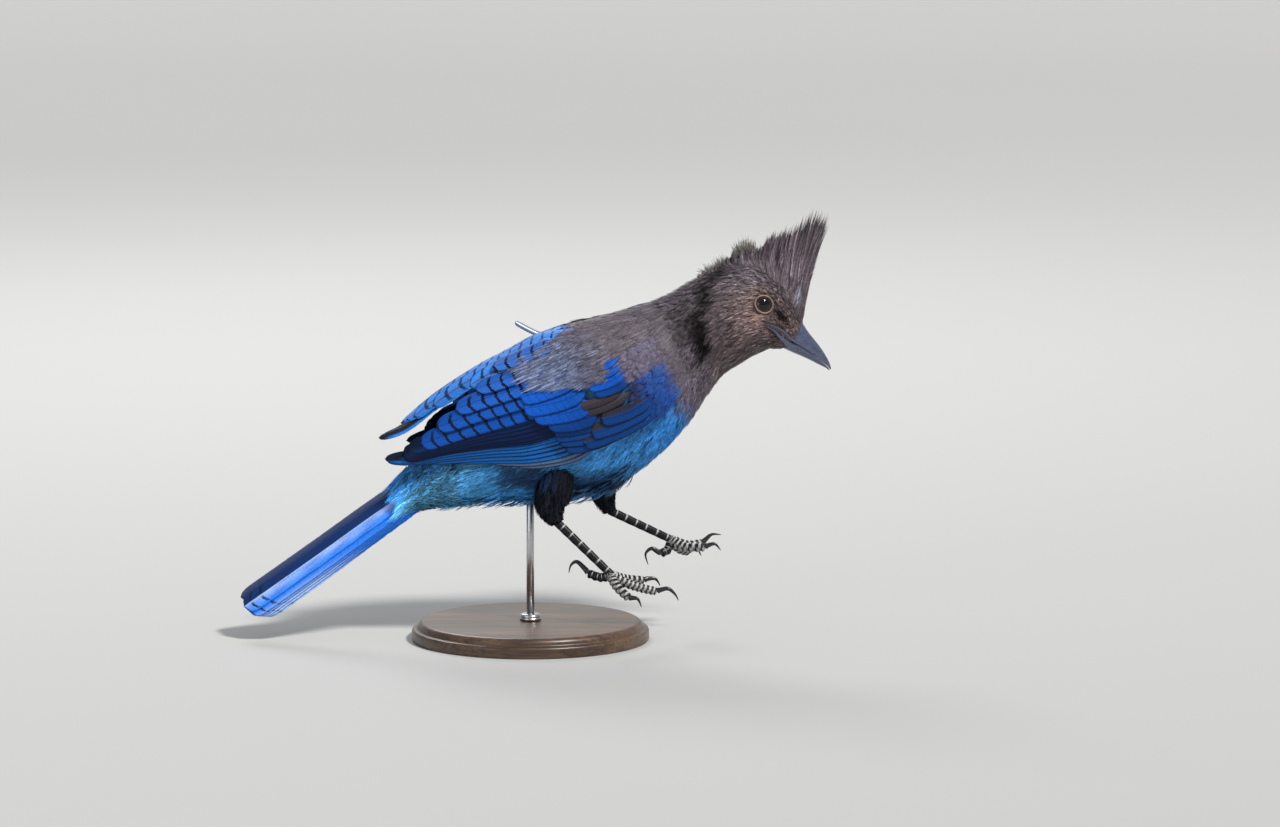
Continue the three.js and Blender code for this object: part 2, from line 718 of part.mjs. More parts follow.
function tail() {
  const feathers = [];
  for (const side of [1, -1]) {
    for (let pair = 0; pair < TAIL_PAIRS; pair++) {
      feathers.push(tailVane(side, pair));
    }
  }
  const base = body.solid(TAIL_BASE, 0, BODY_SIDES / 2);
  return piece("tail", joined([base, ...feathers, ...tailCoverts()]), MATERIALS.sky, [body.solid(RUMP, GAP)]);
}

// Legs and feet

// Points along a smooth path, with a radius that swells and steps down at each scute
function scaled(path, from, to, scutes, ridge) {
  const points = [];
  const radii = [];
  for (let i = 0; i < scutes; i++) {
    for (const [part, step] of [[0.04, ridge], [0.9, 0]]) {
      const share = (i + part) / scutes;
      points.push(vec(alongShare(path, share)));
      radii.push(lerp(from, to, share) + step);
    }
  }
  points.push(vec(alongShare(path, 1)));
  radii.push(to * 0.8);
  return { points, radii };
}

const grown = (radii, grow) => radii.map((radius) => radius + grow);

// The feathered shin, from inside the belly to the heel
function thighSolid(path, radii) {
  const shares = steps(0, 1, 7);
  const points = shares.map((share) => vec(alongShare(path, share)));
  const widths = shares.map((share) => alongShare(radii.map((radius) => [radius]), share)[0]);
  return tube(points, widths, THIGH.sides, THIGH.flat);
}

// The bare shank down to the ball of the foot
function shankSolid(heel, ball, grow = 0) {
  const { points, radii } = scaled([heel, ball], TARSUS.root, TARSUS.end, TARSUS.scutes, TARSUS.ridge);
  const knuckle = new THREE.SphereGeometry(TARSUS.ball + grow, 8, 6).translate(...ball);
  return joined([tube(points, grown(radii, grow), TARSUS.sides, TARSUS.flat), solidOf(knuckle)]);
}

function clawSolid(path) {
  const shares = steps(0, 1, CLAW.rings);
  const points = shares.map((share) => vec(alongShare(path, share)));
  return tube(points, shares.map((share) => lerp(CLAW.root, CLAW.tip, share)), CLAW.sides);
}

function leg(sideName) {
  const { thigh, thighRadii, heel, ball, toes } = LEGS[sideName];
  const group = new THREE.Group();
  const taken = [shankSolid(heel, ball, GAP)];
  group.add(piece(`thigh_${sideName}`, thighSolid(thigh, thighRadii), MATERIALS.black, [bodyRoom, ...taken]));
  group.add(piece(`tarsus_${sideName}`, shankSolid(heel, ball), MATERIALS.scale));
  for (const [toeName, { path, claw }] of Object.entries(toes)) {
    const { points, radii } = scaled(path, TOE.root, TOE.end, TOE.scutes, TOE.ridge);
    const room = tube(points, grown(radii, GAP), TOE.sides);
    group.add(piece(`toe_${toeName}_${sideName}`, tube(points, radii, TOE.sides), MATERIALS.scale, taken));
    const hook = clawSolid([path.at(-1), ...claw]);
    group.add(piece(`claw_${toeName}_${sideName}`, hook, MATERIALS.horn, [room]));
    taken.push(room);
  }
  return group;
}

// The stand: a round base, a collar and a rod that ends against the belly

// A turned solid with its axis upright, from a profile of [radius, height] points, standing at a height
function turned(profile, sides, foot = 0) {
  const spun = new THREE.LatheGeometry(profile.map(([x, y]) => new THREE.Vector2(x, y)), sides);
  return solidOf(spun.rotateX(Math.PI / 2).translate(0, 0, foot));
}

function stand() {
  const { radius, thick, bevel, sides } = STAND;
  const bore = ROD.radius + GAP;
  const foot = thick + GAP;
  const disc = [[0, 0], [radius, 0], [radius, thick - bevel], [radius - bevel, thick], [0, thick]];
  const { radius: wide, height, lip } = COLLAR;
  const shoulder = [[wide, 0], [wide, height * 0.6], [bore + lip, height]];
  const collar = [[bore, 0], ...shoulder, [bore, height], [bore, 0]];
  const rod = [[0, 0], [ROD.radius, 0], [ROD.radius, ROD.top - foot], [0, ROD.top - foot]];
  const group = new THREE.Group();
  group.add(piece("stand_base", turned(disc, sides), MATERIALS.wood));
  group.add(piece("stand_collar", turned(collar, COLLAR.sides, foot), MATERIALS.steel));
  group.add(piece("stand_rod", turned(rod, ROD.sides, foot), MATERIALS.steel, [bodyRoom]));
  return group;
}

// The whole bird on its stand

const jay = new THREE.Group();
jay.add(piece("rump", body.solid(RUMP), MATERIALS.sky));
jay.add(piece("torso", body.solid(TORSO), MATERIALS.sky));
jay.add(piece("neck", body.solid(NECK), MATERIALS.slate));
jay.add(head());
jay.add(crest());
jay.add(piece("bill_upper", billHalf(RIDGE, MOUTH_HALF_GAP), MATERIALS.horn, nostrils()));
jay.add(piece("bill_lower", billHalf(UNDERSIDE, MOUTH_HALF_GAP), MATERIALS.horn));
jay.add(piece("eye_right", eyeBall(-1), MATERIALS.eye));
jay.add(piece("eye_left", eyeBall(1), MATERIALS.eye));
jay.add(wing("wing_right", -1));
jay.add(wing("wing_left", 1));
jay.add(tail());
jay.add(leg("right"));
jay.add(leg("left"));

const model = new THREE.Group();
model.add(jay, stand());

export default model;
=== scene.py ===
import math

import bmesh
import bpy
import numpy as np
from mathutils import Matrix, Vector, kdtree


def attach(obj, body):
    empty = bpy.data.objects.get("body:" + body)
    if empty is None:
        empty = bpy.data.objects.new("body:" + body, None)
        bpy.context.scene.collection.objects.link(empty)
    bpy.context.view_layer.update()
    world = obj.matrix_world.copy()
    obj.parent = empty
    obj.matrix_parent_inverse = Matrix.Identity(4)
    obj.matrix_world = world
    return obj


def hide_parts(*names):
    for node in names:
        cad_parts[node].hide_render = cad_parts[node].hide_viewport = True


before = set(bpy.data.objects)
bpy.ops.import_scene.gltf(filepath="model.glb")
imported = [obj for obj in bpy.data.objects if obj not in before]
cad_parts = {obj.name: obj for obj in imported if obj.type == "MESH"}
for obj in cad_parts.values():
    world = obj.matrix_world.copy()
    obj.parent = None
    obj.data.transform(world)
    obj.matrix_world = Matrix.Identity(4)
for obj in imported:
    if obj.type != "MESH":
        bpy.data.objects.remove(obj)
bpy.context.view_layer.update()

# The photographer's view: a long lens, a little above the bird and square to its right side.
# Sizes in this file are millimetres, and MM turns them into Blender's metres.
MM = 0.001
AIM = (51.7, 0, 107.5)
CAMERA_DISTANCE = 3200
CAMERA_RISE = 8
LENS = 191.5

camera_data = bpy.data.cameras.new("camera")
camera_data.lens = LENS
camera_data.sensor_width = 36
camera_data.clip_end = 20
camera = bpy.data.objects.new("camera", camera_data)
bpy.context.scene.collection.objects.link(camera)
rise = math.radians(CAMERA_RISE)
camera.location = (
    AIM[0] * MM,
    (AIM[1] - CAMERA_DISTANCE * math.cos(rise)) * MM,
    (AIM[2] + CAMERA_DISTANCE * math.sin(rise)) * MM,
)
camera.rotation_euler = (math.pi / 2 - rise, 0, 0)
bpy.context.scene.camera = camera
bpy.context.scene.view_settings.view_transform = "Standard"


# The studio: a pale paper sweep that rises behind the bird, and soft lamps.
# The paper is one seamless sheet. The key lamp stands in front of the bird's head.
def mesh_object(name, points, triangles, smooth=True):
    """A mesh object from points in millimetres and an array of triangles."""
    points = np.asarray(points, float)
    triangles = np.asarray(triangles, np.int32)
    mesh = bpy.data.meshes.new(name)
    mesh.vertices.add(len(points))
    mesh.vertices.foreach_set("co", (points * MM).astype(np.float32).ravel())
    mesh.loops.add(triangles.size)
    mesh.loops.foreach_set("vertex_index", triangles.ravel())
    mesh.polygons.add(len(triangles))
    mesh.polygons.foreach_set("loop_start", np.arange(0, triangles.size, 3, dtype=np.int32))
    mesh.update(calc_edges=True)
    mesh.polygons.foreach_set("use_smooth", np.full(len(triangles), smooth))
    obj = bpy.data.objects.new(name, mesh)
    bpy.context.scene.collection.objects.link(obj)
    return obj


def grid_triangles(rows, columns, closed=False):
    """Triangles of a grid of points in rows, the last column joined to the first if closed."""
    across = columns if closed else columns - 1
    r, c = np.meshgrid(np.arange(rows - 1), np.arange(across), indexing="ij")
    a = (r * columns + c).ravel()
    b = (r * columns + (c + 1) % columns).ravel()
    return np.concatenate([np.stack([a, b, b + columns], 1), np.stack([a, b + columns, a + columns], 1)])


def material(name, roughness=0.5, **sockets):
    """A new node material, a maker of its nodes and a maker of its colour ramps.

    A node given as an input stands for its first output, and `to` names the shader's input that a node feeds.
    """
    made = bpy.data.materials.new(name)
    made.use_nodes = True
    tree = made.node_tree
    shader = tree.nodes["Principled BSDF"]
    shader.inputs["Roughness"].default_value = roughness
    for socket, value in sockets.items():
        shader.inputs[socket.replace("_", " ")].default_value = value

    def node(kind, to=None, out=0, **settings):
        new = tree.nodes.new("ShaderNode" + kind)
        for key, value in settings.items():
            if not key.startswith("in_"):
                setattr(new, key, value)
                continue
            slot = key[3:]
            target = new.inputs[int(slot) if slot.isdigit() else slot.replace("_", " ")]
            if isinstance(value, bpy.types.Node):
                value = value.outputs[0]
            if isinstance(value, bpy.types.NodeSocket):
                tree.links.new(value, target)
            else:
                target.default_value = value
        if to:
            tree.links.new(new.outputs[out], shader.inputs[to])
        return new

    def tone(value, low, high, starts=(0, 1), to="Base Color"):
        ramp = node("ValToRGB", to, in_Fac=value)
        for stop, colour, start in zip(ramp.color_ramp.elements, (low, high), starts):
            stop.position = start
            stop.color = (*colour, 1)
        return ramp

    return made, node, tone


PAPER_FRONT = -5000
PAPER_BACK = 3000
PAPER_CURVE = 1500
PAPER_TOP = 6000
PAPER_HALF = 6000


def paper_sweep():
    profile = [(PAPER_FRONT, 0), (PAPER_BACK, 0)]
    for step in range(1, 13):
        turn = math.radians(step * 7.5)
        profile.append((PAPER_BACK + PAPER_CURVE * math.sin(turn), PAPER_CURVE - PAPER_CURVE * math.cos(turn)))
    profile.append((PAPER_BACK + PAPER_CURVE, PAPER_TOP))
    columns = np.linspace(-PAPER_HALF, PAPER_HALF, 9)
    points = [(x, y, z) for y, z in profile for x in columns]
    return mesh_object("paper_sweep", points, grid_triangles(len(profile), len(columns)))


sweep = paper_sweep()
paper, node, tone = material("paper", 0.9)
tone(node("TexNoise", in_Scale=6.0, in_Detail=3.0), (0.47, 0.47, 0.465), (0.51, 0.51, 0.505))
sweep.data.materials.append(paper)


def soft_lamp(name, place, size, watts, colour):
    """A square area lamp that faces the bird."""
    lamp = bpy.data.lights.new(name, "AREA")
    lamp.shape = "SQUARE"
    lamp.size = size * MM
    lamp.energy = watts
    lamp.color = colour
    obj = bpy.data.objects.new(name, lamp)
    bpy.context.scene.collection.objects.link(obj)
    obj.location = [value * MM for value in place]
    x, y, z = np.array(AIM) - np.array(place)
    obj.rotation_euler = (math.atan2(math.hypot(x, y), -z), 0, math.atan2(y, x) - math.pi / 2)


def far_lamp(name, away, spread, strength, colour):
    """A large lamp so far off that it lights paper and bird evenly, in a direction away from the bird."""
    lamp = bpy.data.lights.new(name, "SUN")
    lamp.angle = math.radians(spread)
    lamp.energy = strength
    lamp.color = colour
    obj = bpy.data.objects.new(name, lamp)
    bpy.context.scene.collection.objects.link(obj)
    x, y, z = away
    obj.rotation_euler = (math.atan2(math.hypot(x, y), z), 0, math.atan2(y, x) + math.pi / 2)


far_lamp("key_lamp", (0.62, -0.66, 1.0), 9, 3.3, (1, 0.985, 0.95))
soft_lamp("fill_lamp", (-1300, -1500, 500), 900, 5, (0.90, 0.95, 1))
soft_lamp("back_lamp", (-300, 1300, 1200), 600, 10, (1, 1, 1))
world = bpy.data.worlds.new("studio")
world.use_nodes = True
world.node_tree.nodes["Background"].inputs["Color"].default_value = (0.9, 0.93, 1, 1)
world.node_tree.nodes["Background"].inputs["Strength"].default_value = 0.36
bpy.context.scene.world = world


# The stand: a turned and oiled hardwood base with a moulded edge, a steel collar pressed into it,
# and one ground steel rod that goes up into the belly.
BASE_RADIUS = 56
BASE_THICK = 9
COLLAR_RADIUS = 5
COLLAR_FOOT = 9.3
COLLAR_HEIGHT = 3
ROD_RADIUS = 1.8
ROD_TOP = 69.5


def capped_triangles(rings, sides):
    """Triangles of closed rings, with a fan at each end to a middle point that follows the rings' points."""
    first = np.arange(sides)
    second = (first + 1) % sides
    last = (rings - 1) * sides
    low = rings * sides
    under = np.stack([second, first, np.full(sides, low)], 1)
    over = np.stack([first + last, second + last, np.full(sides, low + 1)], 1)
    return np.concatenate([grid_triangles(rings, sides, closed=True), under, over])


def fitted(obj, finish, slot, *cad_nodes):
    """Gives a piece its material and its body, and names the solids that it stands for, which it hides; slot is
    not used.
    """
    obj.data.materials.append(finish)
    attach(obj, "root")
    if cad_nodes:
        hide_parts(*cad_nodes)


def turned(name, profile, sides):
    """A turned piece from (radius, height) points, from its underside's middle to its top's middle."""
    profile = np.array(profile, float)
    angles = np.linspace(0, 2 * math.pi, sides, endpoint=False)
    ring = profile[1:-1]
    x = ring[:, :1] * np.cos(angles)
    y = ring[:, :1] * np.sin(angles)
    z = np.repeat(ring[:, 1:], sides, axis=1)
    points = np.stack([x, y, z], -1).reshape(-1, 3)
    points = np.vstack([points, [0, 0, profile[0, 1]], [0, 0, profile[-1, 1]]])
    return mesh_object(name, points, capped_triangles(len(ring), sides))


def rounded(x, z, radius, start, end, count=6):
    """Points on an arc about (x, z), between two angles in degrees."""
    turn = np.radians(np.linspace(start, end, count))
    return list(zip(x + radius * np.cos(turn), z + radius * np.sin(turn)))


base_profile = [(0, 0), (BASE_RADIUS - 1.2, 0)]
base_profile += rounded(BASE_RADIUS - 0.8, 0.8, 0.8, -90, 0, 4)
base_profile += rounded(BASE_RADIUS - 1.4, 4.2, 1.4, -10, 90, 7)
base_profile += [(BASE_RADIUS - 3, 5.7)]
base_profile += rounded(BASE_RADIUS - 5.6, 6.4, 2.6, 0, 90, 9)
base_profile += [(0, BASE_THICK)]
stand_base = turned("stand_disc", base_profile, 144)
collar_profile = [(0, COLLAR_FOOT), (COLLAR_RADIUS, COLLAR_FOOT), (COLLAR_RADIUS, COLLAR_FOOT + 1.1)]
collar_profile += [(4.75, COLLAR_FOOT + 1.25), (4.75, COLLAR_FOOT + 1.5), (COLLAR_RADIUS, COLLAR_FOOT + 1.65)]
collar_profile += rounded(COLLAR_RADIUS - 1.2, COLLAR_FOOT + COLLAR_HEIGHT - 1.2, 1.2, 0, 90, 6)
collar_profile += [(0, COLLAR_FOOT + COLLAR_HEIGHT)]
stand_collar = turned("stand_socket", collar_profile, 72)
rod_profile = [(0, COLLAR_FOOT), (ROD_RADIUS, COLLAR_FOOT), (ROD_RADIUS, ROD_TOP - 0.6)]
rod_profile += [(ROD_RADIUS - 0.6, ROD_TOP), (0, ROD_TOP)]
stand_rod = turned("stand_pin", rod_profile, 40)

walnut, node, tone = material("oiled_walnut", 0.42, Coat_Weight=0.25, Coat_Roughness=0.25)
where = node("TexCoord").outputs["Object"]
plank = node("Mapping", in_Vector=where, in_Scale=(3, 34, 34))
rings = node("TexNoise", in_Vector=plank, in_Scale=3.0, in_Detail=6.0, in_Distortion=0.6)
fibre_place = node("Mapping", in_Vector=where, in_Scale=(40, 900, 900))
fibre = node("TexNoise", in_Vector=fibre_place, in_Scale=1.0, in_Detail=5.0)
wood_tone = tone(rings, (0.050, 0.026, 0.014), (0.135, 0.073, 0.038), (0.36, 0.64), to=None)
pores = node("MapRange", in_Value=fibre, in_From_Min=0.35, in_From_Max=0.62)
node("Mix", "Base Color", 2, data_type="RGBA", blend_type="MULTIPLY", in_0=0.55, in_6=wood_tone, in_7=pores)
node("Bump", "Normal", in_Strength=0.25, in_Distance=0.0002, in_Height=fibre)

steel, node, tone = material("ground_steel", 0.28, Metallic=1.0)
turned_place = node("Mapping", in_Vector=node("TexCoord").outputs["Object"], in_Scale=(300, 300, 4000))
lines = node("TexNoise", in_Vector=turned_place, in_Scale=1.0, in_Detail=3.0)
tone(lines, (0.46, 0.46, 0.47), (0.66, 0.66, 0.67))
node("MapRange", "Roughness", in_Value=lines, in_To_Min=0.22, in_To_Max=0.36)

fitted(stand_base, walnut, "stand_wood", "stand_base")
fitted(stand_collar, steel, "stand_metal", "stand_collar")
fitted(stand_rod, steel, "stand_metal", "stand_rod")


# The skin: the bird's body under its feathers, from the tail base to the bill, with its thighs and arms.
# It is one closed surface, a coat's depth inside the outline that the feathers reach.
BODY = np.array([
    # highest x, z, lowest x, z, half width, roll towards the right side
    [-59, 78, -55.5, 66, 7.6, 24],
    [-51.5, 84, -47, 64.5, 10, 19],
    [-42.5, 90.5, -39, 65, 12, 15],
    [-35, 98, -29.5, 66, 15, 13],
    [-24.5, 110, -14, 66.5, 19, 11],
    [-12.5, 124.5, 7, 67, 21.5, 10],
    [-1, 138.5, 28, 68, 23.5, 10],
    [15, 148, 46, 76, 24, 10],
    [33, 153, 62.5, 89, 23, 10],
    [49.5, 158, 75, 103.5, 20.5, 9],
    [65, 164.5, 83, 115.5, 17.5, 7],
    [78.5, 172, 90, 125.5, 15.5, 4],
    [93, 177.5, 98, 131, 16, 2],
    [106.5, 178.5, 104.5, 135, 15.5, 1],
    [117, 173, 110, 137.5, 13, 0],
    [124.5, 163, 113.5, 138.5, 10, 0],
    [128.5, 149.5, 119.5, 138, 6.6, 0],
])
WING_BED = [
    [-74.5, 98, -68, 80, 10, 14],
    [-59, 103.5, -51.5, 80, 14, 13],
    [-42.5, 116.5, -33, 76, 18, 12],
    [-24.5, 128.5, -12, 71.5, 22, 11],
    [-9.5, 136.5, 8.5, 67.5, 24.3, 10],
    [4.5, 144.5, 33, 68.5, 25.4, 10],
    [16.5, 149.5, 48, 76, 25.6, 10],
    [33.5, 154, 63.5, 88.5, 24.6, 10],
    [50, 159, 76, 103, 22.4, 9],
    [65.5, 165, 84, 115, 19.4, 7],
]
ARM = {"station": 6.7, "height": 14, "stations": 1.6, "degrees": 36, "rise": 2.6, "sunk": 6}
COAT_DEPTH = 2.4
FACE_DEPTH = 0.9
SKIN_GRAIN = 1.0
THIGHS = {
    "right": ([[14, -12, 84], [12, -13.5, 74], [9.8, -14, 66.5], [11, -14.6, 61.5], [12.9, -15, 57.8]],
              [9.5, 9, 7.6, 5.2, 2.9]),
    "left": ([[36, 11, 84], [35, 12, 77], [34, 12.6, 69.5], [35.4, 13.4, 63.5], [37.4, 14, 59]],
             [9, 8, 6.4, 4.4, 2.8]),
}


def along(rows, t):
    """Smooth values at places t along rows of numbers, passing through each row."""
    rows = np.asarray(rows, float)
    t = np.asarray(t, float)
    last = len(rows) - 1
    i = np.clip(np.floor(t).astype(int), 0, last - 1)
    f = (t - i)[..., None]
    a = rows[np.maximum(i - 1, 0)]
    b = rows[i]
    c = rows[i + 1]
    d = rows[np.minimum(i + 2, last)]
    return 0.5 * (2 * b + f * ((c - a) + f * ((2 * a - 5 * b + 4 * c - d) + f * (3 * b - a - 3 * c + d))))


def unit(v):
    return v / np.maximum(np.linalg.norm(v, axis=-1, keepdims=True), 1e-9)


def turn_of(height, side):
    """The turn at so many degrees above the middle of the left side, side 1, or of the right side, side -1."""
    return height if side > 0 else 180 - height


def coat_depth(station):
    """How deep the skin lies inside the feathers' outline."""
    return np.interp(station, [0, 10.5, 12, 14.5, 16], [COAT_DEPTH, COAT_DEPTH, 1.5, FACE_DEPTH, 0.5])


class Form:
    """Cross-sections joined smoothly. A turn is in degrees from the left side over the top."""

    def __init__(self, rows):
        self.rows = np.array(rows, float)

    def point(self, station, turn, lift=0.0, grow=0.0):
        station, turn = np.broadcast_arrays(np.asarray(station, float), np.asarray(turn, float))
        up_x, up_z, low_x, low_z, half, roll = np.moveaxis(along(self.rows, station), -1, 0)
        height = np.hypot(up_x - low_x, up_z - low_z) / 2
        ex, ez = (up_x - low_x) / 2 / height, (up_z - low_z) / 2 / height
        lean = np.radians(roll)
        zero = np.zeros_like(ex)
        centre = np.stack([(up_x + low_x) / 2, zero, (up_z + low_z) / 2], -1)
        up = np.stack([ex * np.cos(lean), -np.sin(lean), ez * np.cos(lean)], -1)
        left = np.stack([ex * np.sin(lean), np.cos(lean), ez * np.sin(lean)], -1)
        angle = np.radians(turn)
        p = centre + up * ((height + grow) * np.sin(angle))[..., None]
        p = p + left * ((half + grow) * np.cos(angle))[..., None]
        if np.any(lift):
            p = p + self.normal(station, turn) * np.asarray(lift, float)[..., None]
        return p

    def normal(self, station, turn):
        ahead = self.point(station + 0.05, turn) - self.point(station - 0.05, turn)
        around = self.point(station, turn + 1) - self.point(station, turn - 1)
        return unit(np.cross(around, ahead))


body = Form(BODY)
bed = Form(WING_BED)


def smooth_step(low, high, value):
    share = np.clip((value - low) / (high - low), 0, 1)
    return share * share * (3 - 2 * share)


def blend_colours(first, second, share):
    return first + (second - first) * share[..., None]


CHARCOAL = np.array([0.105, 0.078, 0.085])
CROWN = np.array([0.100, 0.078, 0.092])
CHEEK = np.array([0.195, 0.132, 0.130])
CHIN = np.array([0.135, 0.108, 0.104])
SHADOW_BLACK = np.array([0.0030, 0.0022, 0.0026])
MANTLE = np.array([0.100, 0.080, 0.102])
BACK_GREY = np.array([0.175, 0.200, 0.310])
BREAST_GREY = np.array([0.160, 0.130, 0.172])
BREAST_BLUE = np.array([0.030, 0.240, 0.660])
BELLY_BLUE = np.array([0.060, 0.350, 0.780])
SHADED_FLANK_BLUE = np.array([0.002, 0.016, 0.060])
RUMP_BLUE = np.array([0.065, 0.400, 0.900])
# The vent's own pale azure, painted brighter as painted light on an underside that the lamps leave in shade.
LIT_VENT_BLUE = np.array([0.170, 0.600, 0.960])
RING_BROWN = np.array([0.240, 0.150, 0.105])


def body_colour(station, turn):
    """The plumage's colour on the body and head, with painted shadow on the flank under the wing, in a crescent
    behind the ear coverts and a band behind it, on the neck's side and on the nape, and painted light on the pale
    vent.
    """
    station, turn = np.broadcast_arrays(np.asarray(station, float), np.asarray(turn, float))
    height = np.degrees(np.arcsin(np.sin(np.radians(turn))))
    under = blend_colours(LIT_VENT_BLUE, BELLY_BLUE, smooth_step(1.5, 5, station))
    under = blend_colours(under, BREAST_BLUE, smooth_step(6.5, 9, station))
    # The flank just under the folded wing is painted near black: partly its own dark feathers, partly painted
    # shadow of the wing.
    shaded_at = np.interp(station, [4.6, 5.6, 6.4, 7.2], [-12, -26, -46, -60])
    flank = np.exp(-((height - shaded_at) / 20) ** 4) * smooth_step(4.2, 4.9, station)
    flank = flank * (1 - smooth_step(7.0, 7.8, station))
    under = blend_colours(under, SHADED_FLANK_BLUE, 0.92 * flank)
    back = blend_colours(RUMP_BLUE, BACK_GREY, smooth_step(3.6, 6.2, station))
    blue = blend_colours(under, back, smooth_step(15, 50, height))
    dark = blend_colours(BREAST_GREY, MANTLE, smooth_step(-60, 20, height))
    edge = np.interp(height, [-90, -40, -10, 30, 60, 90], [9.7, 9.5, 9.1, 8.0, 7.0, 6.6])
    soft = np.interp(height, [-90, -10, 30, 90], [0.35, 0.4, 0.9, 1.3])
    colour = blend_colours(blue, dark, smooth_step(edge - soft, edge + soft, station))
    head = blend_colours(CHARCOAL, CROWN, smooth_step(20, 55, height))
    head = blend_colours(head, CHEEK, smooth_step(12, 12.8, station) * smooth_step(-50, -15, height)
                         * (1 - smooth_step(15, 40, height)))
    head = blend_colours(head, CHIN, (1 - smooth_step(-60, -35, height)))
    colour = blend_colours(colour, head, smooth_step(10.2, 11.6, station))
    # Painted shadows in near black: a crescent behind the ear coverts, a band behind it, the side of the neck and
    # the nape behind the crest.
    crescent = np.exp(-((station - 10.95) / 0.44) ** 4) * smooth_step(-28, -14, height)
    crescent = crescent * (1 - smooth_step(30, 44, height))
    behind_it = np.exp(-((station - 11.42) / 0.3) ** 2) * smooth_step(20, 30, height)
    behind_it = behind_it * (1 - smooth_step(62, 74, height))
    colour = blend_colours(colour, SHADOW_BLACK, np.maximum(0.98 * crescent, 0.92 * behind_it))
    neck_side = np.exp(-((station - 10.45) / 0.5) ** 2) * smooth_step(5, 20, height)
    neck_side = neck_side * (1 - smooth_step(52, 66, height))
    colour = blend_colours(colour, SHADOW_BLACK * 7, 0.75 * neck_side)
    nape = np.exp(-((station - 11.95) / 0.42) ** 2 - ((height - 72) / 15) ** 2)
    colour = blend_colours(colour, SHADOW_BLACK * 2, 0.9 * nape)
    lore = np.exp(-((station - 14.85) / 0.6) ** 2 - ((height - 9) / 10) ** 2)
    colour = blend_colours(colour, SHADOW_BLACK * 2, 0.95 * np.minimum(1, 1.3 * lore))
    off_eye = np.hypot((station - 13.45) * 14, (height - 13) * 0.27)
    return blend_colours(colour, RING_BROWN, 0.6 * np.exp(-((off_eye - 5.6) / 1.1) ** 2))


def add_colour(obj, colours):
    """Stores a colour at each point, which the material reads by the name plume."""
    values = np.ones((len(colours), 4), np.float32)
    values[:, :3] = colours
    obj.data.attributes.new("plume", "FLOAT_COLOR", "POINT").data.foreach_set("color", values.ravel())


def add_map(obj, places):
    """Stores the places of the points on the skin's unwrap as the map that colours are baked through."""
    corners = np.empty(len(obj.data.loops), np.int32)
    obj.data.loops.foreach_get("vertex_index", corners)
    layer = obj.data.uv_layers.new(name="OFBake")
    layer.data.foreach_set("uv", places[corners].astype(np.float32).ravel())


def add_value(obj, name, values):
    """Stores a number at each point, which a material reads by its name."""
    obj.data.attributes.new(name, "FLOAT", "POINT").data.foreach_set("value", np.asarray(values, np.float32))


def crosswise(tangent):
    """The ways to the left and up at right angles to a run."""
    side = unit(np.array([0, 1.0, 0]) - tangent * tangent[..., 1:2])
    return side, np.cross(tangent, side)


def rings_round(path, reach, side, up, sides, flat):
    """Rings of points about a path, each at its reach and flattened across."""
    turn = np.linspace(0, 2 * math.pi, sides, endpoint=False)
    across = side[:, None] * (np.cos(turn) * flat)[:, None]
    return path[:, None] + reach[..., None] * (across + up[:, None] * np.sin(turn)[:, None])


def tube(path, radii, sides, flat=1.0):
    """Points and triangles of a closed tube along a path, each end shut by a fan."""
    path = np.asarray(path, float)
    side, up = crosswise(unit(np.gradient(path, axis=0)))
    wall = rings_round(path, np.asarray(radii, float)[:, None], side, up, sides, flat)
    return np.vstack([wall.reshape(-1, 3), path[:1], path[-1:]]), capped_triangles(len(path), sides)


def applied(obj, *modifiers):
    """The object's mesh replaced by the result of modifiers, each a kind and its settings."""
    for kind, settings in modifiers:
        modifier = obj.modifiers.new(kind.lower(), kind)
        for key, value in settings.items():
            setattr(modifier, key, value)
    shaped = obj.evaluated_get(bpy.context.evaluated_depsgraph_get())
    mesh = bpy.data.meshes.new_from_object(shaped)
    obj.modifiers.clear()
    obj.data = mesh
    return obj


def arm_pad(side):
    """The folded arm as a low dome on the body's side."""
    spokes = np.linspace(0, 2 * math.pi, 40, endpoint=False)
    rings = [(0.5, -ARM["sunk"]), (0.9, -ARM["sunk"] / 2), (1, 0), (0.93, 0.45), (0.75, 0.75), (0.5, 0.93),
             (0.2, 1)]
    wall = []
    for radius, lift in rings:
        station = ARM["station"] + ARM["stations"] * radius * np.cos(spokes)
        height = ARM["height"] + ARM["degrees"] * radius * np.sin(spokes)
        rise = lift * ARM["rise"] - 1 if lift > 0 else lift - 1
        wall.append(bed.point(station, turn_of(height, side), rise))
    ends = [np.mean(wall[0], axis=0), np.mean(wall[-1], axis=0)]
    faces = capped_triangles(len(rings), len(spokes))
    return np.vstack([np.concatenate(wall), ends]), faces[:, ::-1] if side < 0 else faces


def skin_blank():
    """The body, thighs and arms as overlapping closed shapes, before they are fused."""
    stations = np.linspace(0, 16, 161)
    turns = np.linspace(0, 360, 64, endpoint=False)
    wall = body.point(stations[:, None], turns[None, :], grow=-coat_depth(stations)[:, None])
    points = [np.vstack([wall.reshape(-1, 3), wall[0].mean(0), wall[-1].mean(0)])]
    triangles = [capped_triangles(161, 64)[:, ::-1]]
    shapes = []
    for path, radii in THIGHS.values():
        t = np.linspace(0, 4, 30)
        radius = along(np.array(radii, float)[:, None], t)[:, 0] - np.interp(t, [0, 2.5, 4], [1.6, 1.4, 0.9])
        shapes.append(tube(along(path, t), radius, 28, 0.85))
    for shape, faces in shapes + [arm_pad(1), arm_pad(-1)]:
        triangles.append(faces + sum(len(p) for p in points))
        points.append(shape)
    return mesh_object("skin", np.vstack(points), np.concatenate(triangles))


skin = applied(
    skin_blank(),
    ("REMESH", {"mode": "VOXEL", "voxel_size": SKIN_GRAIN * MM, "use_smooth_shade": True}),
    ("SMOOTH", {"factor": 0.5, "iterations": 4}),
)


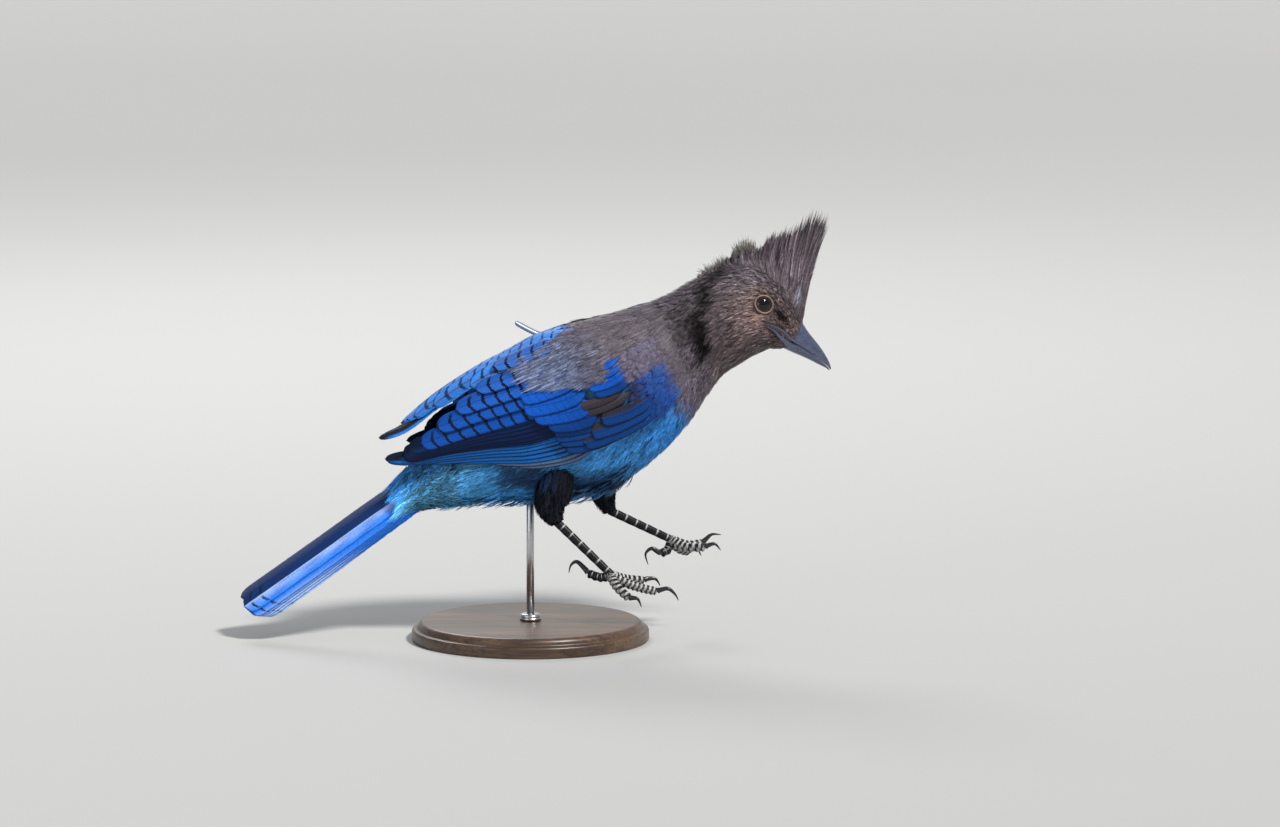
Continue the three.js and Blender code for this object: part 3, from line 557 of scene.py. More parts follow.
def places_on_body(points):
    """The nearest station and turn of each point, from a fine table of the body's form."""
    stations, turns = np.meshgrid(np.linspace(0, 16, 129), np.arange(0, 360, 5.0), indexing="ij")
    table = body.point(stations, turns).reshape(-1, 3)
    tree = kdtree.KDTree(len(table))
    for i, p in enumerate(table):
        tree.insert(p, i)
    tree.balance()
    found = np.array([tree.find(p)[1] for p in points])
    return stations.ravel()[found], turns.ravel()[found]


THIGH_BLACK = np.array([0.007, 0.008, 0.013])
skin_points = np.empty(len(skin.data.vertices) * 3, np.float32)
skin.data.vertices.foreach_get("co", skin_points)
skin_points = skin_points.reshape(-1, 3) / MM
skin_station, skin_turn = places_on_body(skin_points)
skin_colour = body_colour(skin_station, skin_turn) * 0.55
below = smooth_step(72, 69, skin_points[:, 2]) * smooth_step(2, 6, skin_points[:, 0] + 4)
skin_colour = blend_colours(skin_colour, THIGH_BLACK, below)
add_colour(skin, skin_colour)
add_map(skin, np.stack([skin_station / 16 * 0.96 + 0.02, skin_turn / 360 * 0.96 + 0.02], 1))

down, node, tone = material("plumage", 0.5)
plume = node("Attribute", attribute_name="plume")
where = node("TexCoord").outputs["Object"]
fine = node("TexNoise", in_Vector=where, in_Scale=900.0, in_Detail=2.0)
broad = node("TexNoise", in_Vector=where, in_Scale=90.0, in_Detail=3.0)
fine_light = node("MapRange", in_Value=fine, in_From_Min=0.3, in_From_Max=0.7, in_To_Min=0.72, in_To_Max=1.28)
broad_light = node("MapRange", in_Value=broad, in_From_Min=0.3, in_From_Max=0.7, in_To_Min=0.82,
                   in_To_Max=1.18)
both = node("Math", operation="MULTIPLY", in_0=fine_light, in_1=broad_light)
node("VectorMath", "Base Color", operation="SCALE", in_0=plume, in_Scale=both)
node("Bump", "Normal", in_Strength=0.35, in_Distance=0.0003, in_Height=fine)
node("MapRange", "Specular IOR Level", in_Value=plume.outputs["Fac"], in_From_Max=0.05, in_To_Min=0.04,
     in_To_Max=0.32)

fitted(skin, down, "blue_feathers", "torso", "rump", "neck", "head", "thigh_right", "thigh_left")


# The legs: bare shanks and toes in black horn scutes, pale along their edges, with grey pads under the toes
# and black claws. Each scute is a plate that overlaps the next one down.
LEGS = {
    "right": {
        "heel": [12.6, -15, 58.2],
        "ball": [38.1, -19, 34],
        "hind": ([[37, -18.4, 33.2], [32.9, -17, 32.4], [27.4, -15.2, 34]],
                 [[25.8, -14.6, 36], [22.1, -14, 39.2], [19.3, -14, 37.6], [18.3, -14, 33.8]]),
        "inner": ([[39, -17.5, 33.4], [45.5, -12.5, 30.9], [53.6, -9, 29.6]],
                  [[55.3, -8.4, 30.2], [59, -8, 30], [61.2, -8, 26.8]]),
        "middle": ([[39.2, -19, 33], [46, -18.6, 29.6], [53, -18.8, 27.4], [59.6, -19, 26]],
                   [[61.3, -19, 26.7], [65, -19, 27.2], [68.1, -19, 24.6], [69.8, -19, 21.6]]),
        "outer": ([[38.5, -20, 32.6], [41.4, -24.4, 28.6], [46.6, -28.4, 24.4]],
                  [[48.2, -29.3, 24.6], [50.8, -30, 24], [52.4, -30.2, 20.3]]),
    },
    "left": {
        "heel": [37.2, 14, 59.2],
        "ball": [66.7, 20, 44.2],
        "hind": ([[66.2, 19.2, 42.8], [64.6, 17, 39.9], [61.6, 15, 38.6]],
                 [[59.9, 14.4, 39.6], [57, 14, 41], [54.3, 14, 38.2], [55.6, 14, 33.2]]),
        "inner": ([[67.4, 18.8, 43.6], [73.5, 15.6, 41.5], [82.4, 12.2, 42]],
                  [[84, 11.6, 43], [87.2, 11, 43.6], [89.9, 11, 40.6]]),
        "middle": ([[68, 20.2, 43.8], [74.6, 21.6, 41.6], [81.4, 24, 42.2]],
                   [[82.8, 24.6, 43.6], [85.8, 25, 46], [90.2, 25, 45.9]]),
        "outer": ([[67, 21.4, 42.8], [70.6, 26.4, 38.8], [74.6, 30.8, 37]],
                  [[76.2, 32, 37.4], [79, 33, 37.6], [80.8, 33.4, 34.4]]),
    },
}
SHANK_RADIUS = (1.95, 1.75)
SHANK_SCUTES = 7
TOE_RADIUS = (2.2, 1.8)
TOE_SCUTE = 1.6
SCUTE_STEP = 0.2

LIMB_SIDES = 20
RINGS_A_SCUTE = 10

leg_skin, node, tone = material("leg_scales", 0.38, Specular_IOR_Level=0.25)
edge_mark = node("Attribute", attribute_name="scute_edge").outputs["Fac"]
pits = node("TexNoise", in_Vector=node("TexCoord").outputs["Object"], in_Scale=1400.0, in_Detail=3.0)
broken = node("MapRange", in_Value=pits, in_From_Min=0.35, in_From_Max=0.6, in_To_Min=0.55, in_To_Max=1.0)
pale = node("Math", operation="MULTIPLY", in_0=edge_mark, in_1=broken)
node("Mix", "Base Color", 2, data_type="RGBA", in_0=pale, in_6=(0.007, 0.007, 0.010, 1),
     in_7=(0.62, 0.60, 0.58, 1))
node("Bump", "Normal", in_Strength=0.4, in_Distance=0.0001, in_Height=pits)

claw_horn, node, tone = material("claw_horn", 0.22)
streaks = node("TexNoise", in_Vector=node("TexCoord").outputs["Object"], in_Scale=700.0, in_Detail=3.0)
tone(streaks, (0.008, 0.008, 0.010), (0.030, 0.028, 0.030))
node("MapRange", "Roughness", in_Value=streaks, in_To_Min=0.14, in_To_Max=0.34)


def made_outward(obj):
    """Turns a closed mesh's faces outwards."""
    work = bmesh.new()
    work.from_mesh(obj.data)
    bmesh.ops.recalc_face_normals(work, faces=work.faces)
    work.to_mesh(obj.data)
    work.free()
    return obj


def scaled_limb(name, path, radii, scutes, flat, pad, pale):
    """A tube whose upper face steps down at each scute and whose underside swells into pads."""
    rings = scutes * RINGS_A_SCUTE + 1
    share = np.linspace(0, 1, rings)
    smooth = along(path, share * (len(path) - 1))
    radius = np.interp(share, [0, 1], radii)
    tangent = unit(np.gradient(smooth, axis=0))
    side, up = crosswise(tangent)
    flip = np.sign(up[:, 2:3] + 1e-6)
    turn = np.linspace(0, 2 * math.pi, LIMB_SIDES, endpoint=False)
    within = (share * scutes) % 1.0
    within[-1] = 1.0
    plate = SCUTE_STEP * (1 - within) ** 0.6 * smooth_step(0, 0.08, within)
    over = smooth_step(-0.35, 0.25, np.sin(turn))[None, :]
    swell = pad * (0.5 + 0.5 * np.cos(2 * math.pi * (within - 0.5)))[:, None] * (1 - over)
    swell = swell * smooth_step(0.02, 0.12, share)[:, None]
    reach = radius[:, None] + plate[:, None] * over + swell
    end = np.clip((share - 0.93) / 0.07, 0, 1)
    reach = reach * np.sqrt(1 - 0.75 * end ** 2)[:, None]
    wall = rings_round(smooth, reach, side * flip, up * flip, LIMB_SIDES, flat)
    points = np.vstack([wall.reshape(-1, 3), smooth[:1], smooth[-1:] + tangent[-1:] * radius[-1] * 0.25])
    obj = mesh_object(name, points, capped_triangles(rings, LIMB_SIDES))
    groove = smooth_step(pale, 0.6 * pale, within) + smooth_step(1 - 0.5 * pale, 1 - 0.2 * pale, within)
    below = 0.6 * (1 - over) * (pale > 0.2) * (within > 0.5)[:, None]
    mark = np.clip(groove, 0, 1)[:, None] * (0.25 + 0.75 * over) + below
    add_value(obj, "scute_edge", np.concatenate([np.clip(mark, 0, 1).ravel(), [0, 0.2]]))
    return made_outward(obj)


for side_name, leg in LEGS.items():
    heel = np.array(leg["heel"], float)
    ball = np.array(leg["ball"], float)
    shank = scaled_limb(f"shank_{side_name}", [heel, (heel + ball) / 2, ball + (ball - heel) * 0.03],
                        SHANK_RADIUS, SHANK_SCUTES, 0.8, 0.1, 0.07)
    fitted(shank, leg_skin, "leg_scales", f"tarsus_{side_name}")
    for toe_name in ("hind", "inner", "middle", "outer"):
        toe_path, claw_path = leg[toe_name]
        length = np.linalg.norm(np.diff(np.array(toe_path, float), axis=0), axis=1).sum()
        root = ball + (np.array(toe_path[0], float) - ball) * 0.3
        toe = scaled_limb(f"scaled_toe_{toe_name}_{side_name}", [root] + toe_path, TOE_RADIUS,
                          max(5, round(length / TOE_SCUTE)), 0.9, 0.45, 0.06 if toe_name == "hind" else 0.34)
        fitted(toe, leg_skin, "leg_scales", f"toe_{toe_name}_{side_name}")
        hook = along([toe_path[-1]] + claw_path, np.linspace(0.15, len(claw_path), 26))
        width = np.interp(np.linspace(0, 1, 26), [0, 0.12, 0.55, 1], [1.3, 1.35, 0.85, 0.12])
        claw = made_outward(mesh_object(f"hooked_claw_{toe_name}_{side_name}", *tube(hook, width, 16, 0.72)))
        fitted(claw, claw_horn, "horn", f"claw_{toe_name}_{side_name}")


# The eyes: glass eyes, near black with a dark brown ring, set in the skin.
# A bare grey-brown lid rings each one, finely beaded along its edge.
EYE_STATION = 13.45
EYE_HEIGHT = 13
EYE_RADIUS = 5
EYE_PROUD = 1
EYE_OPENING = 4.05
LID_RADIUS = 0.42
LID_BEADS = 46
BEAD_RADIUS = 0.17

eye_glass, node, tone = material("eye_glass", 0.04, Coat_Weight=0.3, Coat_Roughness=0.02,
                                 Specular_IOR_Level=0.3)
out_from_pupil = node("Attribute", attribute_name="iris").outputs["Fac"]
flecks = node("TexNoise", in_Vector=node("TexCoord").outputs["Object"], in_Scale=1500.0, in_Detail=2.0)
shifted = node("MapRange", in_Value=flecks, in_To_Min=-0.05, in_To_Max=0.05)
ring_place = node("Math", operation="ADD", in_0=out_from_pupil, in_1=shifted)
tone(ring_place, (0.003, 0.003, 0.004), (0.022, 0.012, 0.008), (0.50, 0.62))

lid_skin, node, tone = material("lid_skin", 0.5)
beads = node("TexVoronoi", in_Vector=node("TexCoord").outputs["Object"], in_Scale=2600.0)
tone(beads, (0.34, 0.24, 0.19), (0.15, 0.10, 0.08))
node("Bump", "Normal", invert=True, in_Strength=0.5, in_Distance=0.0001, in_Height=beads)


def bead_nodes():
    """Geometry nodes that set beads round a ring and turn the ring to face along the eye."""
    tree = bpy.data.node_groups.new("bead_ring", "GeometryNodeTree")
    sizes = {
        "Ring": ("NodeSocketFloat", 4.3 * MM),
        "Bead": ("NodeSocketFloat", BEAD_RADIUS * MM),
        "Count": ("NodeSocketInt", LID_BEADS),
        "Centre": ("NodeSocketVector", (0, 0, 0)),
        "Facing": ("NodeSocketRotation", (0, 0, 0)),
        "Finish": ("NodeSocketMaterial", None),
    }
    tree.interface.new_socket("Geometry", in_out="INPUT", socket_type="NodeSocketGeometry")
    for label, (kind, value) in sizes.items():
        socket = tree.interface.new_socket(label, in_out="INPUT", socket_type=kind)
        if value is not None:
            socket.default_value = value
    tree.interface.new_socket("Geometry", in_out="OUTPUT", socket_type="NodeSocketGeometry")
    given = tree.nodes.new("NodeGroupInput").outputs
    ring = tree.nodes.new("GeometryNodeCurvePrimitiveCircle")
    spaced = tree.nodes.new("GeometryNodeCurveToPoints")
    bead = tree.nodes.new("GeometryNodeMeshIcoSphere")
    size = tree.nodes.new("FunctionNodeRandomValue")
    placed = tree.nodes.new("GeometryNodeInstanceOnPoints")
    turned_ring = tree.nodes.new("GeometryNodeTransform")
    real = tree.nodes.new("GeometryNodeRealizeInstances")
    finish = tree.nodes.new("GeometryNodeSetMaterial")
    out = tree.nodes.new("NodeGroupOutput")
    bead.inputs["Subdivisions"].default_value = 2
    size.inputs["Min"].default_value = 0.75
    size.inputs["Max"].default_value = 1.15
    size.inputs["Seed"].default_value = 5
    size_value = next(socket for socket in size.outputs if socket.type == "VALUE" and socket.enabled)
    for source, target in (
        (given["Ring"], ring.inputs["Radius"]),
        (ring.outputs["Curve"], spaced.inputs["Curve"]),
        (given["Count"], spaced.inputs["Count"]),
        (given["Bead"], bead.inputs["Radius"]),
        (spaced.outputs["Points"], placed.inputs["Points"]),
        (bead.outputs["Mesh"], placed.inputs["Instance"]),
        (size_value, placed.inputs["Scale"]),
        (placed.outputs["Instances"], turned_ring.inputs["Geometry"]),
        (given["Centre"], turned_ring.inputs["Translation"]),
        (given["Facing"], turned_ring.inputs["Rotation"]),
        (turned_ring.outputs["Geometry"], real.inputs["Geometry"]),
        (real.outputs["Geometry"], finish.inputs["Geometry"]),
        (given["Finish"], finish.inputs["Material"]),
        (finish.outputs["Geometry"], out.inputs["Geometry"]),
    ):
        tree.links.new(source, target)
    return tree


def from_nodes(name, tree, values):
    """A plain mesh object made by geometry nodes from named inputs."""
    holder = bpy.data.objects.new(name + "_maker", bpy.data.meshes.new(name + "_maker"))
    bpy.context.scene.collection.objects.link(holder)
    modifier = holder.modifiers.new("maker", "NODES")
    modifier.node_group = tree
    for item in tree.interface.items_tree:
        if item.in_out == "INPUT" and item.name in values:
            modifier[item.identifier] = values[item.name]
    shaped = holder.evaluated_get(bpy.context.evaluated_depsgraph_get())
    mesh = bpy.data.meshes.new_from_object(shaped)
    mesh.name = name
    bpy.data.objects.remove(holder)
    obj = bpy.data.objects.new(name, mesh)
    bpy.context.scene.collection.objects.link(obj)
    return obj


bead_ring = bead_nodes()

for side_name, turn in (("left", EYE_HEIGHT), ("right", 180 - EYE_HEIGHT)):
    outward = body.normal(EYE_STATION, turn)
    centre = body.point(EYE_STATION, turn, EYE_PROUD - EYE_RADIUS)
    aside = unit(np.cross(outward, [0, 0, 1.0]))
    upward = np.cross(aside, outward)

    def spoke(angle, aside=aside, upward=upward):
        return aside * math.cos(angle) + upward * math.sin(angle)

    polar = np.linspace(0, math.pi, 33)[1:-1]
    ball = [centre + EYE_RADIUS * (outward * math.cos(p) + math.sin(p) * spoke(t))
            for p in polar for t in np.linspace(0, 2 * math.pi, 48, endpoint=False)]
    ball += [centre + outward * EYE_RADIUS, centre - outward * EYE_RADIUS]
    eye = made_outward(mesh_object(f"eyeball_{side_name}", ball, capped_triangles(len(polar), 48)))
    off_pupil = np.sin(polar) * (polar < math.pi / 2) + (polar >= math.pi / 2)
    add_value(eye, "iris", np.concatenate([np.repeat(off_pupil, 48), [0, 1]]))
    fitted(eye, eye_glass, "eye", f"eye_{side_name}")

    lid_points = []
    for t in np.linspace(0, 2 * math.pi, 72, endpoint=False):
        reach = EYE_OPENING * (1 + 0.05 * math.cos(2 * (t - 0.5)))
        thick = LID_RADIUS * (1 + 0.1 * math.sin(t * 7))
        rim = centre + spoke(t) * reach + outward * math.sqrt(max(EYE_RADIUS ** 2 - reach ** 2, 0.1))
        for u in np.linspace(0, 2 * math.pi, 12, endpoint=False):
            off_rim = spoke(t) * (0.15 + thick * math.cos(u)) + outward * (0.3 + thick * math.sin(u))
            lid_points.append(rim + off_rim)
    # The 73rd ring is the first one again, which closes the lid
    lid_triangles = grid_triangles(73, 12, closed=True) % (72 * 12)
    lid = made_outward(mesh_object(f"eyelid_{side_name}", lid_points, lid_triangles))
    fitted(lid, lid_skin, "dark_feathers")
    ring_at = centre + outward * (math.sqrt(EYE_RADIUS ** 2 - EYE_OPENING ** 2) + 0.5)
    facing = Vector(outward).to_track_quat("Z", "Y").to_euler()
    beads = from_nodes(f"lid_beads_{side_name}", bead_ring, {
        "Ring": (EYE_OPENING + 0.32) * MM, "Bead": BEAD_RADIUS * MM, "Count": LID_BEADS,
        "Centre": tuple(ring_at * MM), "Facing": tuple(facing), "Finish": lid_skin,
    })
    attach(beads, "root")


# The bill: two horn sheaths that meet in a thin mouth line, the upper one ridged along its top and hooked
# a little over the lower one's tip. Blue-black and polished.
BILL = np.array([
    # mouth line x, z, ridge x, z, underside x, z, half width
    [123.2, 142.1, 128.8, 149.2, 119.9, 138, 5.3],
    [126.4, 139.9, 130.8, 146.1, 123.6, 136.3, 4.6],
    [129.9, 137.6, 133.3, 142.9, 127.9, 134.5, 3.8],
    [133.3, 135.3, 135.9, 139.6, 132, 132.6, 2.9],
    [136.6, 132.7, 138.3, 136, 135.9, 130.6, 2],
    [139.4, 130.2, 140.4, 132.2, 138.8, 129.2, 1.1],
    [141, 128.3, 141.5, 128.9, 140.3, 128.1, 0.3],
])
MOUTH_GAP = 0.14

bill_horn, node, tone = material("bill_horn", 0.2, Coat_Weight=0.9, Coat_Roughness=0.05)
grown_lines = node("Mapping", in_Vector=node("TexCoord").outputs["Object"], in_Rotation=(0, 0.65, 0),
                   in_Scale=(120, 900, 900))
growth = node("TexNoise", in_Vector=grown_lines, in_Scale=1.0, in_Detail=4.0)
tone(growth, (0.022, 0.028, 0.060), (0.085, 0.105, 0.185))
node("MapRange", "Roughness", in_Value=growth, in_To_Min=0.14, in_To_Max=0.36)
node("Bump", "Normal", in_Strength=0.15, in_Distance=0.0001, in_Height=growth)


def bill_sheath(name, edge, ridge, cad_node):
    """Half of the bill: a closed half tube from the mouth line out to its ridge or underside."""
    back = along(BILL, np.array([0.0, 0.4]))
    sunk = back[0] - (back[1] - back[0]) * 2.2
    rows = np.vstack([sunk, along(BILL, np.linspace(0, 6, 49))])
    rings, columns = len(rows), 21
    wall = []
    for row in rows:
        mouth = np.array([row[0], 0, row[1]])
        out = np.array([row[edge], 0, row[edge + 1]]) - mouth
        height = np.linalg.norm(out)
        out = out / max(height, 1e-6)
        for j in range(columns):
            angle = math.pi * j / (columns - 1)
            p = mouth + out * (MOUTH_GAP + (height - MOUTH_GAP) * math.sin(angle) ** ridge)
            p[1] = row[6] * math.copysign(abs(math.cos(angle)) ** 0.92, math.cos(angle))
            wall.append(p)
    a = np.arange(rings - 1) * columns
    b = a + columns - 1
    triangles = [grid_triangles(rings, columns), np.stack([a, a + columns, b], 1)]
    triangles.append(np.stack([b, a + columns, b + columns], 1))
    fan = np.array([[0, j + 1, j] for j in range(1, columns - 1)])
    triangles += [fan, fan[:, ::-1] + (rings - 1) * columns]
    sheath = made_outward(mesh_object(name, wall, np.concatenate(triangles)))
    fitted(sheath, bill_horn, "horn", cad_node)


bill_sheath("bill_sheath_upper", 2, 0.9, "bill_upper")
bill_sheath("bill_sheath_lower", 4, 0.75, "bill_lower")

# The horn edges run back from the bill along the cheek to the corner of the mouth.
# Each one: stops on the face as (station, height, lift), stops on the bill as (x, y, z), and its radii.
GAPE_STOPS = {
    "upper": ([(13.68, -12, -0.2), (14.36, -13.5, 0.2), (15.0, -11.5, 0.35)],
              [(122.2, 6.4, 143.9), (126.2, 4.6, 140.9)], [0.12, 0.34, 0.46, 0.7, 0.6]),
    "lower": ([(13.82, -18, -0.3), (14.4, -21, 0.05), (15.0, -25, 0.2)],
              [(120.8, 6.1, 141.5), (125.0, 4.4, 138.7)], [0.12, 0.4, 0.75, 1.15, 1.1]),
}
gape_path = {}
for side, side_name in ((1, "left"), (-1, "right")):
    for part, (on_face, on_bill, radii) in GAPE_STOPS.items():
        stops = [body.point(station, turn_of(height, side), lift) for station, height, lift in on_face]
        stops += [np.array([x, side * y, z]) for x, y, z in on_bill]
        t = np.linspace(0, 4, 33)
        path = along(stops, t)
        gape_path[part, side] = path
        edge = tube(path, np.interp(t, range(5), radii), 12, 0.8)
        gape = made_outward(mesh_object(f"gape_edge_{part}_{side_name}", *edge))
        fitted(gape, bill_horn, "horn")


# The small feathers of body and head: loose-barbed contour feathers, each rooted in the skin and lying back
# over the next ones. They are shortest on the face and longest on the flank and vent.
BARB_SECTIONS = np.array([0, 0.4, 0.75, 1.0])


def run_at(form, station, turn):
    """How many millimetres a station is long, at places on a form."""
    ahead = form.point(station + 0.02, turn) - form.point(station - 0.02, turn)
    return np.linalg.norm(ahead, axis=1) / 0.04


def paths_on(form, station, turn, length, drift, root_lift, tip_lift, stops=5, way=-1):
    """Paths of feathers that lie back over a form from their roots, with the surface's facing along them."""
    run = run_at(form, station, turn)
    girth = np.linalg.norm(form.point(station, turn + 1) - form.point(station, turn - 1), axis=1) / 2
    angle = np.radians(drift)
    share = np.linspace(0, 1, stops)[None, :]
    stations = station[:, None] + way * (np.cos(angle) * length / run)[:, None] * share
    stations = np.clip(stations, -0.25, len(form.rows) - 0.75)
    turns = turn[:, None] + (np.sin(angle) * length / girth)[:, None] * share
    lift = root_lift[:, None] + (tip_lift - root_lift)[:, None] * (1 - (1 - share) ** 2)
    return form.point(stations, turns, lift), form.normal(stations, turns)


def tufts(name, path, facing, width, colour, place, barbs, seed, slots, spread=1.0, ruffle=0.12,
          streak=(0.13, 0.24), fade=(0.35, 1.2)):
    """One mesh of small feathers. Each is a fan of fine ridged barbs inside a leaf's outline.

    slots is the piece's slot, which is not used, then any solids that it stands for, which are hidden.
    """
    draw = np.random.default_rng(seed)
    count, stops = path.shape[:2]
    tangent = unit(np.gradient(path, axis=1))
    across = unit(np.cross(facing, tangent))
    sections = len(BARB_SECTIONS)
    order = np.linspace(-1, 1, barbs)[None, :] + draw.uniform(-0.5, 0.5, (count, barbs)) / barbs
    order = np.clip(order, -1, 1)
    start = 0.42 * (1 - np.abs(order)) * draw.uniform(0.2, 1, (count, barbs))
    finish = 1 - 0.42 * np.abs(order) ** 1.6 - draw.uniform(0, 0.14, (count, barbs))
    share = start[..., None] + (finish - start)[..., None] * BARB_SECTIONS
    lateral = order[..., None] * width[:, None, None] * BARB_SECTIONS ** 0.7 * spread
    lift = ruffle * width[:, None, None] * draw.normal(0, 1, (count, barbs, 1)) * BARB_SECTIONS
    lift = lift - 0.16 * width[:, None, None] * order[..., None] ** 2
    at = share * (stops - 1)
    i = np.clip(np.floor(at).astype(int), 0, stops - 2)
    f = (at - i)[..., None]
    owner = np.arange(count)[:, None, None]

    def between(values):
        return values[owner, i] * (1 - f) + values[owner, i + 1] * f

    side = unit(between(across))
    out = unit(between(facing))
    centre = between(path) + side * lateral[..., None] + out * lift[..., None]
    barb_width = 2.3 * width[:, None, None] / barbs * np.array([0.7, 1.0, 0.8])
    barb_width = barb_width * draw.uniform(0.75, 1.25, (count, barbs, 1))
    half = barb_width[..., None] / 2
    left = centre[:, :, :-1] - side[:, :, :-1] * half
    middle = centre[:, :, :-1] + out[:, :, :-1] * half * 0.55
    right = centre[:, :, :-1] + side[:, :, :-1] * half
    wall = np.stack([left, middle, right], 3).reshape(count, barbs, (sections - 1) * 3, 3)
    points = np.concatenate([wall, centre[:, :, -1:]], 2)
    per = points.shape[2]
    faces = []
    for s in range(sections - 2):
        for c in (0, 1):
            a = s * 3 + c
            faces += [[a, a + 1, a + 4], [a, a + 4, a + 3]]
    last = (sections - 2) * 3
    faces += [[last, last + 1, per - 1], [last + 1, last + 2, per - 1]]
    faces = np.array(faces)
    blocks = (np.arange(count * barbs) * per)[:, None, None]
    triangles = (faces[None] + blocks).reshape(-1, 3)
    obj = mesh_object(name, points.reshape(-1, 3), triangles)

    along_barb = np.concatenate([np.repeat(BARB_SECTIONS[:-1], 3), [1.0]])
    light = np.exp(draw.normal(0, streak[0], (count, 1, 1)) + draw.normal(0, streak[1], (count, barbs, 1)))
    # fade runs from a barb's root to its tip; where it rises, each barb is painted darker towards its root, as
    # painted shade under the feathers that lie over it.
    light = light * (fade[0] + (fade[1] - fade[0]) * along_barb[None, None, :])
    add_colour(obj, (colour[:, None, None] * light[..., None]).reshape(-1, 3))
    map_x = (order[..., None] * 0.5 + 0.5) * 0.0026
    map_x = map_x + np.tile([-0.0001, 0, 0.0001], sections)[:per] / barbs * 4
    map_y = (start[..., None] + (finish - start)[..., None] * along_barb) * 0.0028
    add_map(obj, np.stack([place[:, :1, None] + map_x, place[:, 1:2, None] + map_y], -1).reshape(-1, 2))
    fitted(obj, down, *slots)


def body_place(station, turn):
    return np.stack([station / 16 * 0.96 + 0.015, (turn % 360) / 360 * 0.96 + 0.015], 1)


def scattered(stations, spacing, seed):
    """Roots in staggered rows round the body between two stations, about so many millimetres apart."""
    draw = np.random.default_rng(seed)
    all_round = np.linspace(0, 360, 73)
    found = []
    station = stations[0]
    row = 0
    while station < stations[1]:
        girth = np.linalg.norm(np.diff(body.point(np.full(73, station), all_round), axis=0), axis=1)
        whole = girth.sum()
        number = max(3, int(whole / spacing))
        mark = (np.arange(number) + 0.5 * (row % 2) + draw.uniform(-0.3, 0.3, number)) / number
        turn = np.interp(mark, np.concatenate([[0], np.cumsum(girth)]) / whole, all_round)
        over = body.point(station + 0.05, 90.0) - body.point(station - 0.05, 90.0)
        under = body.point(station + 0.05, 270.0) - body.point(station - 0.05, 270.0)
        run = max(np.linalg.norm(over), np.linalg.norm(under)) / 0.1
        shift = draw.uniform(-0.35, 0.35, number) * spacing / run
        found.append(np.stack([station + shift, turn], 1))
        station += 0.8 * spacing / run
        row += 1
    return np.concatenate(found).T


def body_height(turn):
    return np.degrees(np.arcsin(np.sin(np.radians(turn))))


def contour_coat(name, stations, spacing, barbs, seed, slot, lengths, wide, keep=None, streak=(0.13, 0.24)):
    """The small feathers between two stations of the body. lengths is stations and the lengths there."""
    draw = np.random.default_rng(seed)
    station, turn = scattered(stations, spacing, seed)
    if keep is not None:
        chosen = keep(station, turn)
        station, turn = station[chosen], turn[chosen]
    count = len(station)
    length = np.interp(station, *lengths) * draw.uniform(0.85, 1.2, count)
    sweep_down = -14 * np.cos(np.radians(turn)) * smooth_step(3, 5, station)
    sweep_down = sweep_down * (1 - smooth_step(9.5, 11, station))
    drift = sweep_down + draw.normal(0, 7, count)
    tip = np.interp(station, [0, 9, 12, 16], [0.4, 0.3, 0.25, 0.15]) + draw.uniform(-0.25, 0.25, count)
    path, facing = paths_on(body, station, turn, length, drift, -coat_depth(station) - 0.1, tip)
    width = wide * draw.uniform(0.85, 1.15, count)
    colour = body_colour(station + 0.05 * draw.normal(0, 1, count), turn)
    tufts(name, path, facing, width, colour, body_place(station, turn), barbs, seed + 1, [slot], streak=streak)


def under_wings(station, turn):
    """True where a folded wing doesn't hide the body."""
    height = body_height(turn)
    low = np.interp(station, [0, 2, 4, 6, 8, 9.0], [8, 2, -14, -16, -10, 10])
    high = np.interp(station, [0, 2, 4, 6, 8, 9.0], [30, 44, 50, 46, 36, 20])
    hidden = (height > low + 16) & (height < high - 8) & (station < 8.6)
    return ~hidden


contour_coat("feathers_vent", (2.3, 3.6), 2.1, 13, 11, "blue_feathers", ([2.3, 3.6], [11, 14]), 2.3,
             under_wings)
for side_name, side in (("left", 1), ("right", -1)):
    def on_side(station, turn, side=side):
        """True for roots on one side of the body that no folded wing hides."""
        return under_wings(station, turn) & (side * np.cos(np.radians(turn)) >= (0 if side > 0 else 1e-9))

    contour_coat(f"feathers_belly_{side_name}", (3.4, 7.2), 2.65, 13, 12, "blue_feathers", ([0], [14.5]), 2.8,
                 on_side)
    contour_coat(f"feathers_breast_{side_name}", (7.0, 9.9), 2.35, 11, 13, "blue_feathers", ([0], [11.0]), 2.2,
                 on_side)
contour_coat("feathers_neck", (9.7, 12.0), 1.85, 11, 14, "dark_feathers", ([0], [8.0]), 1.4, None, (0.22, 0.28))


def off_the_eye(station, turn):
    """True for face feathers whose root, middle and tip all stay off the eye, its lid and the gape."""
    clear = np.ones(len(station), bool)
    run = run_at(body, station, turn)
    horn = np.concatenate([path[4:] for path in gape_path.values()])
    for part in (0, 0.5, 1.0):
        p = body.point(station - part * 3.6 / run, turn)
        for eye_turn in (EYE_HEIGHT, 180 - EYE_HEIGHT):
            clear &= np.linalg.norm(p - body.point(EYE_STATION, eye_turn), axis=1) > EYE_OPENING + 0.6
        clear &= np.linalg.norm(p[:, None] - horn[None], axis=2).min(1) > 1.15
    return clear


contour_coat("feathers_head", (11.8, 14.2), 1.52, 9, 15, "dark_feathers", ([11.8, 14.2], [6.4, 4.2]), 0.95,
             off_the_eye, (0.34, 0.48))
contour_coat("feathers_face", (14.1, 15.95), 1.28, 7, 16, "dark_feathers", ([14.1, 15.9], [4.0, 2.6]), 0.75,
             off_the_eye, (0.34, 0.45))


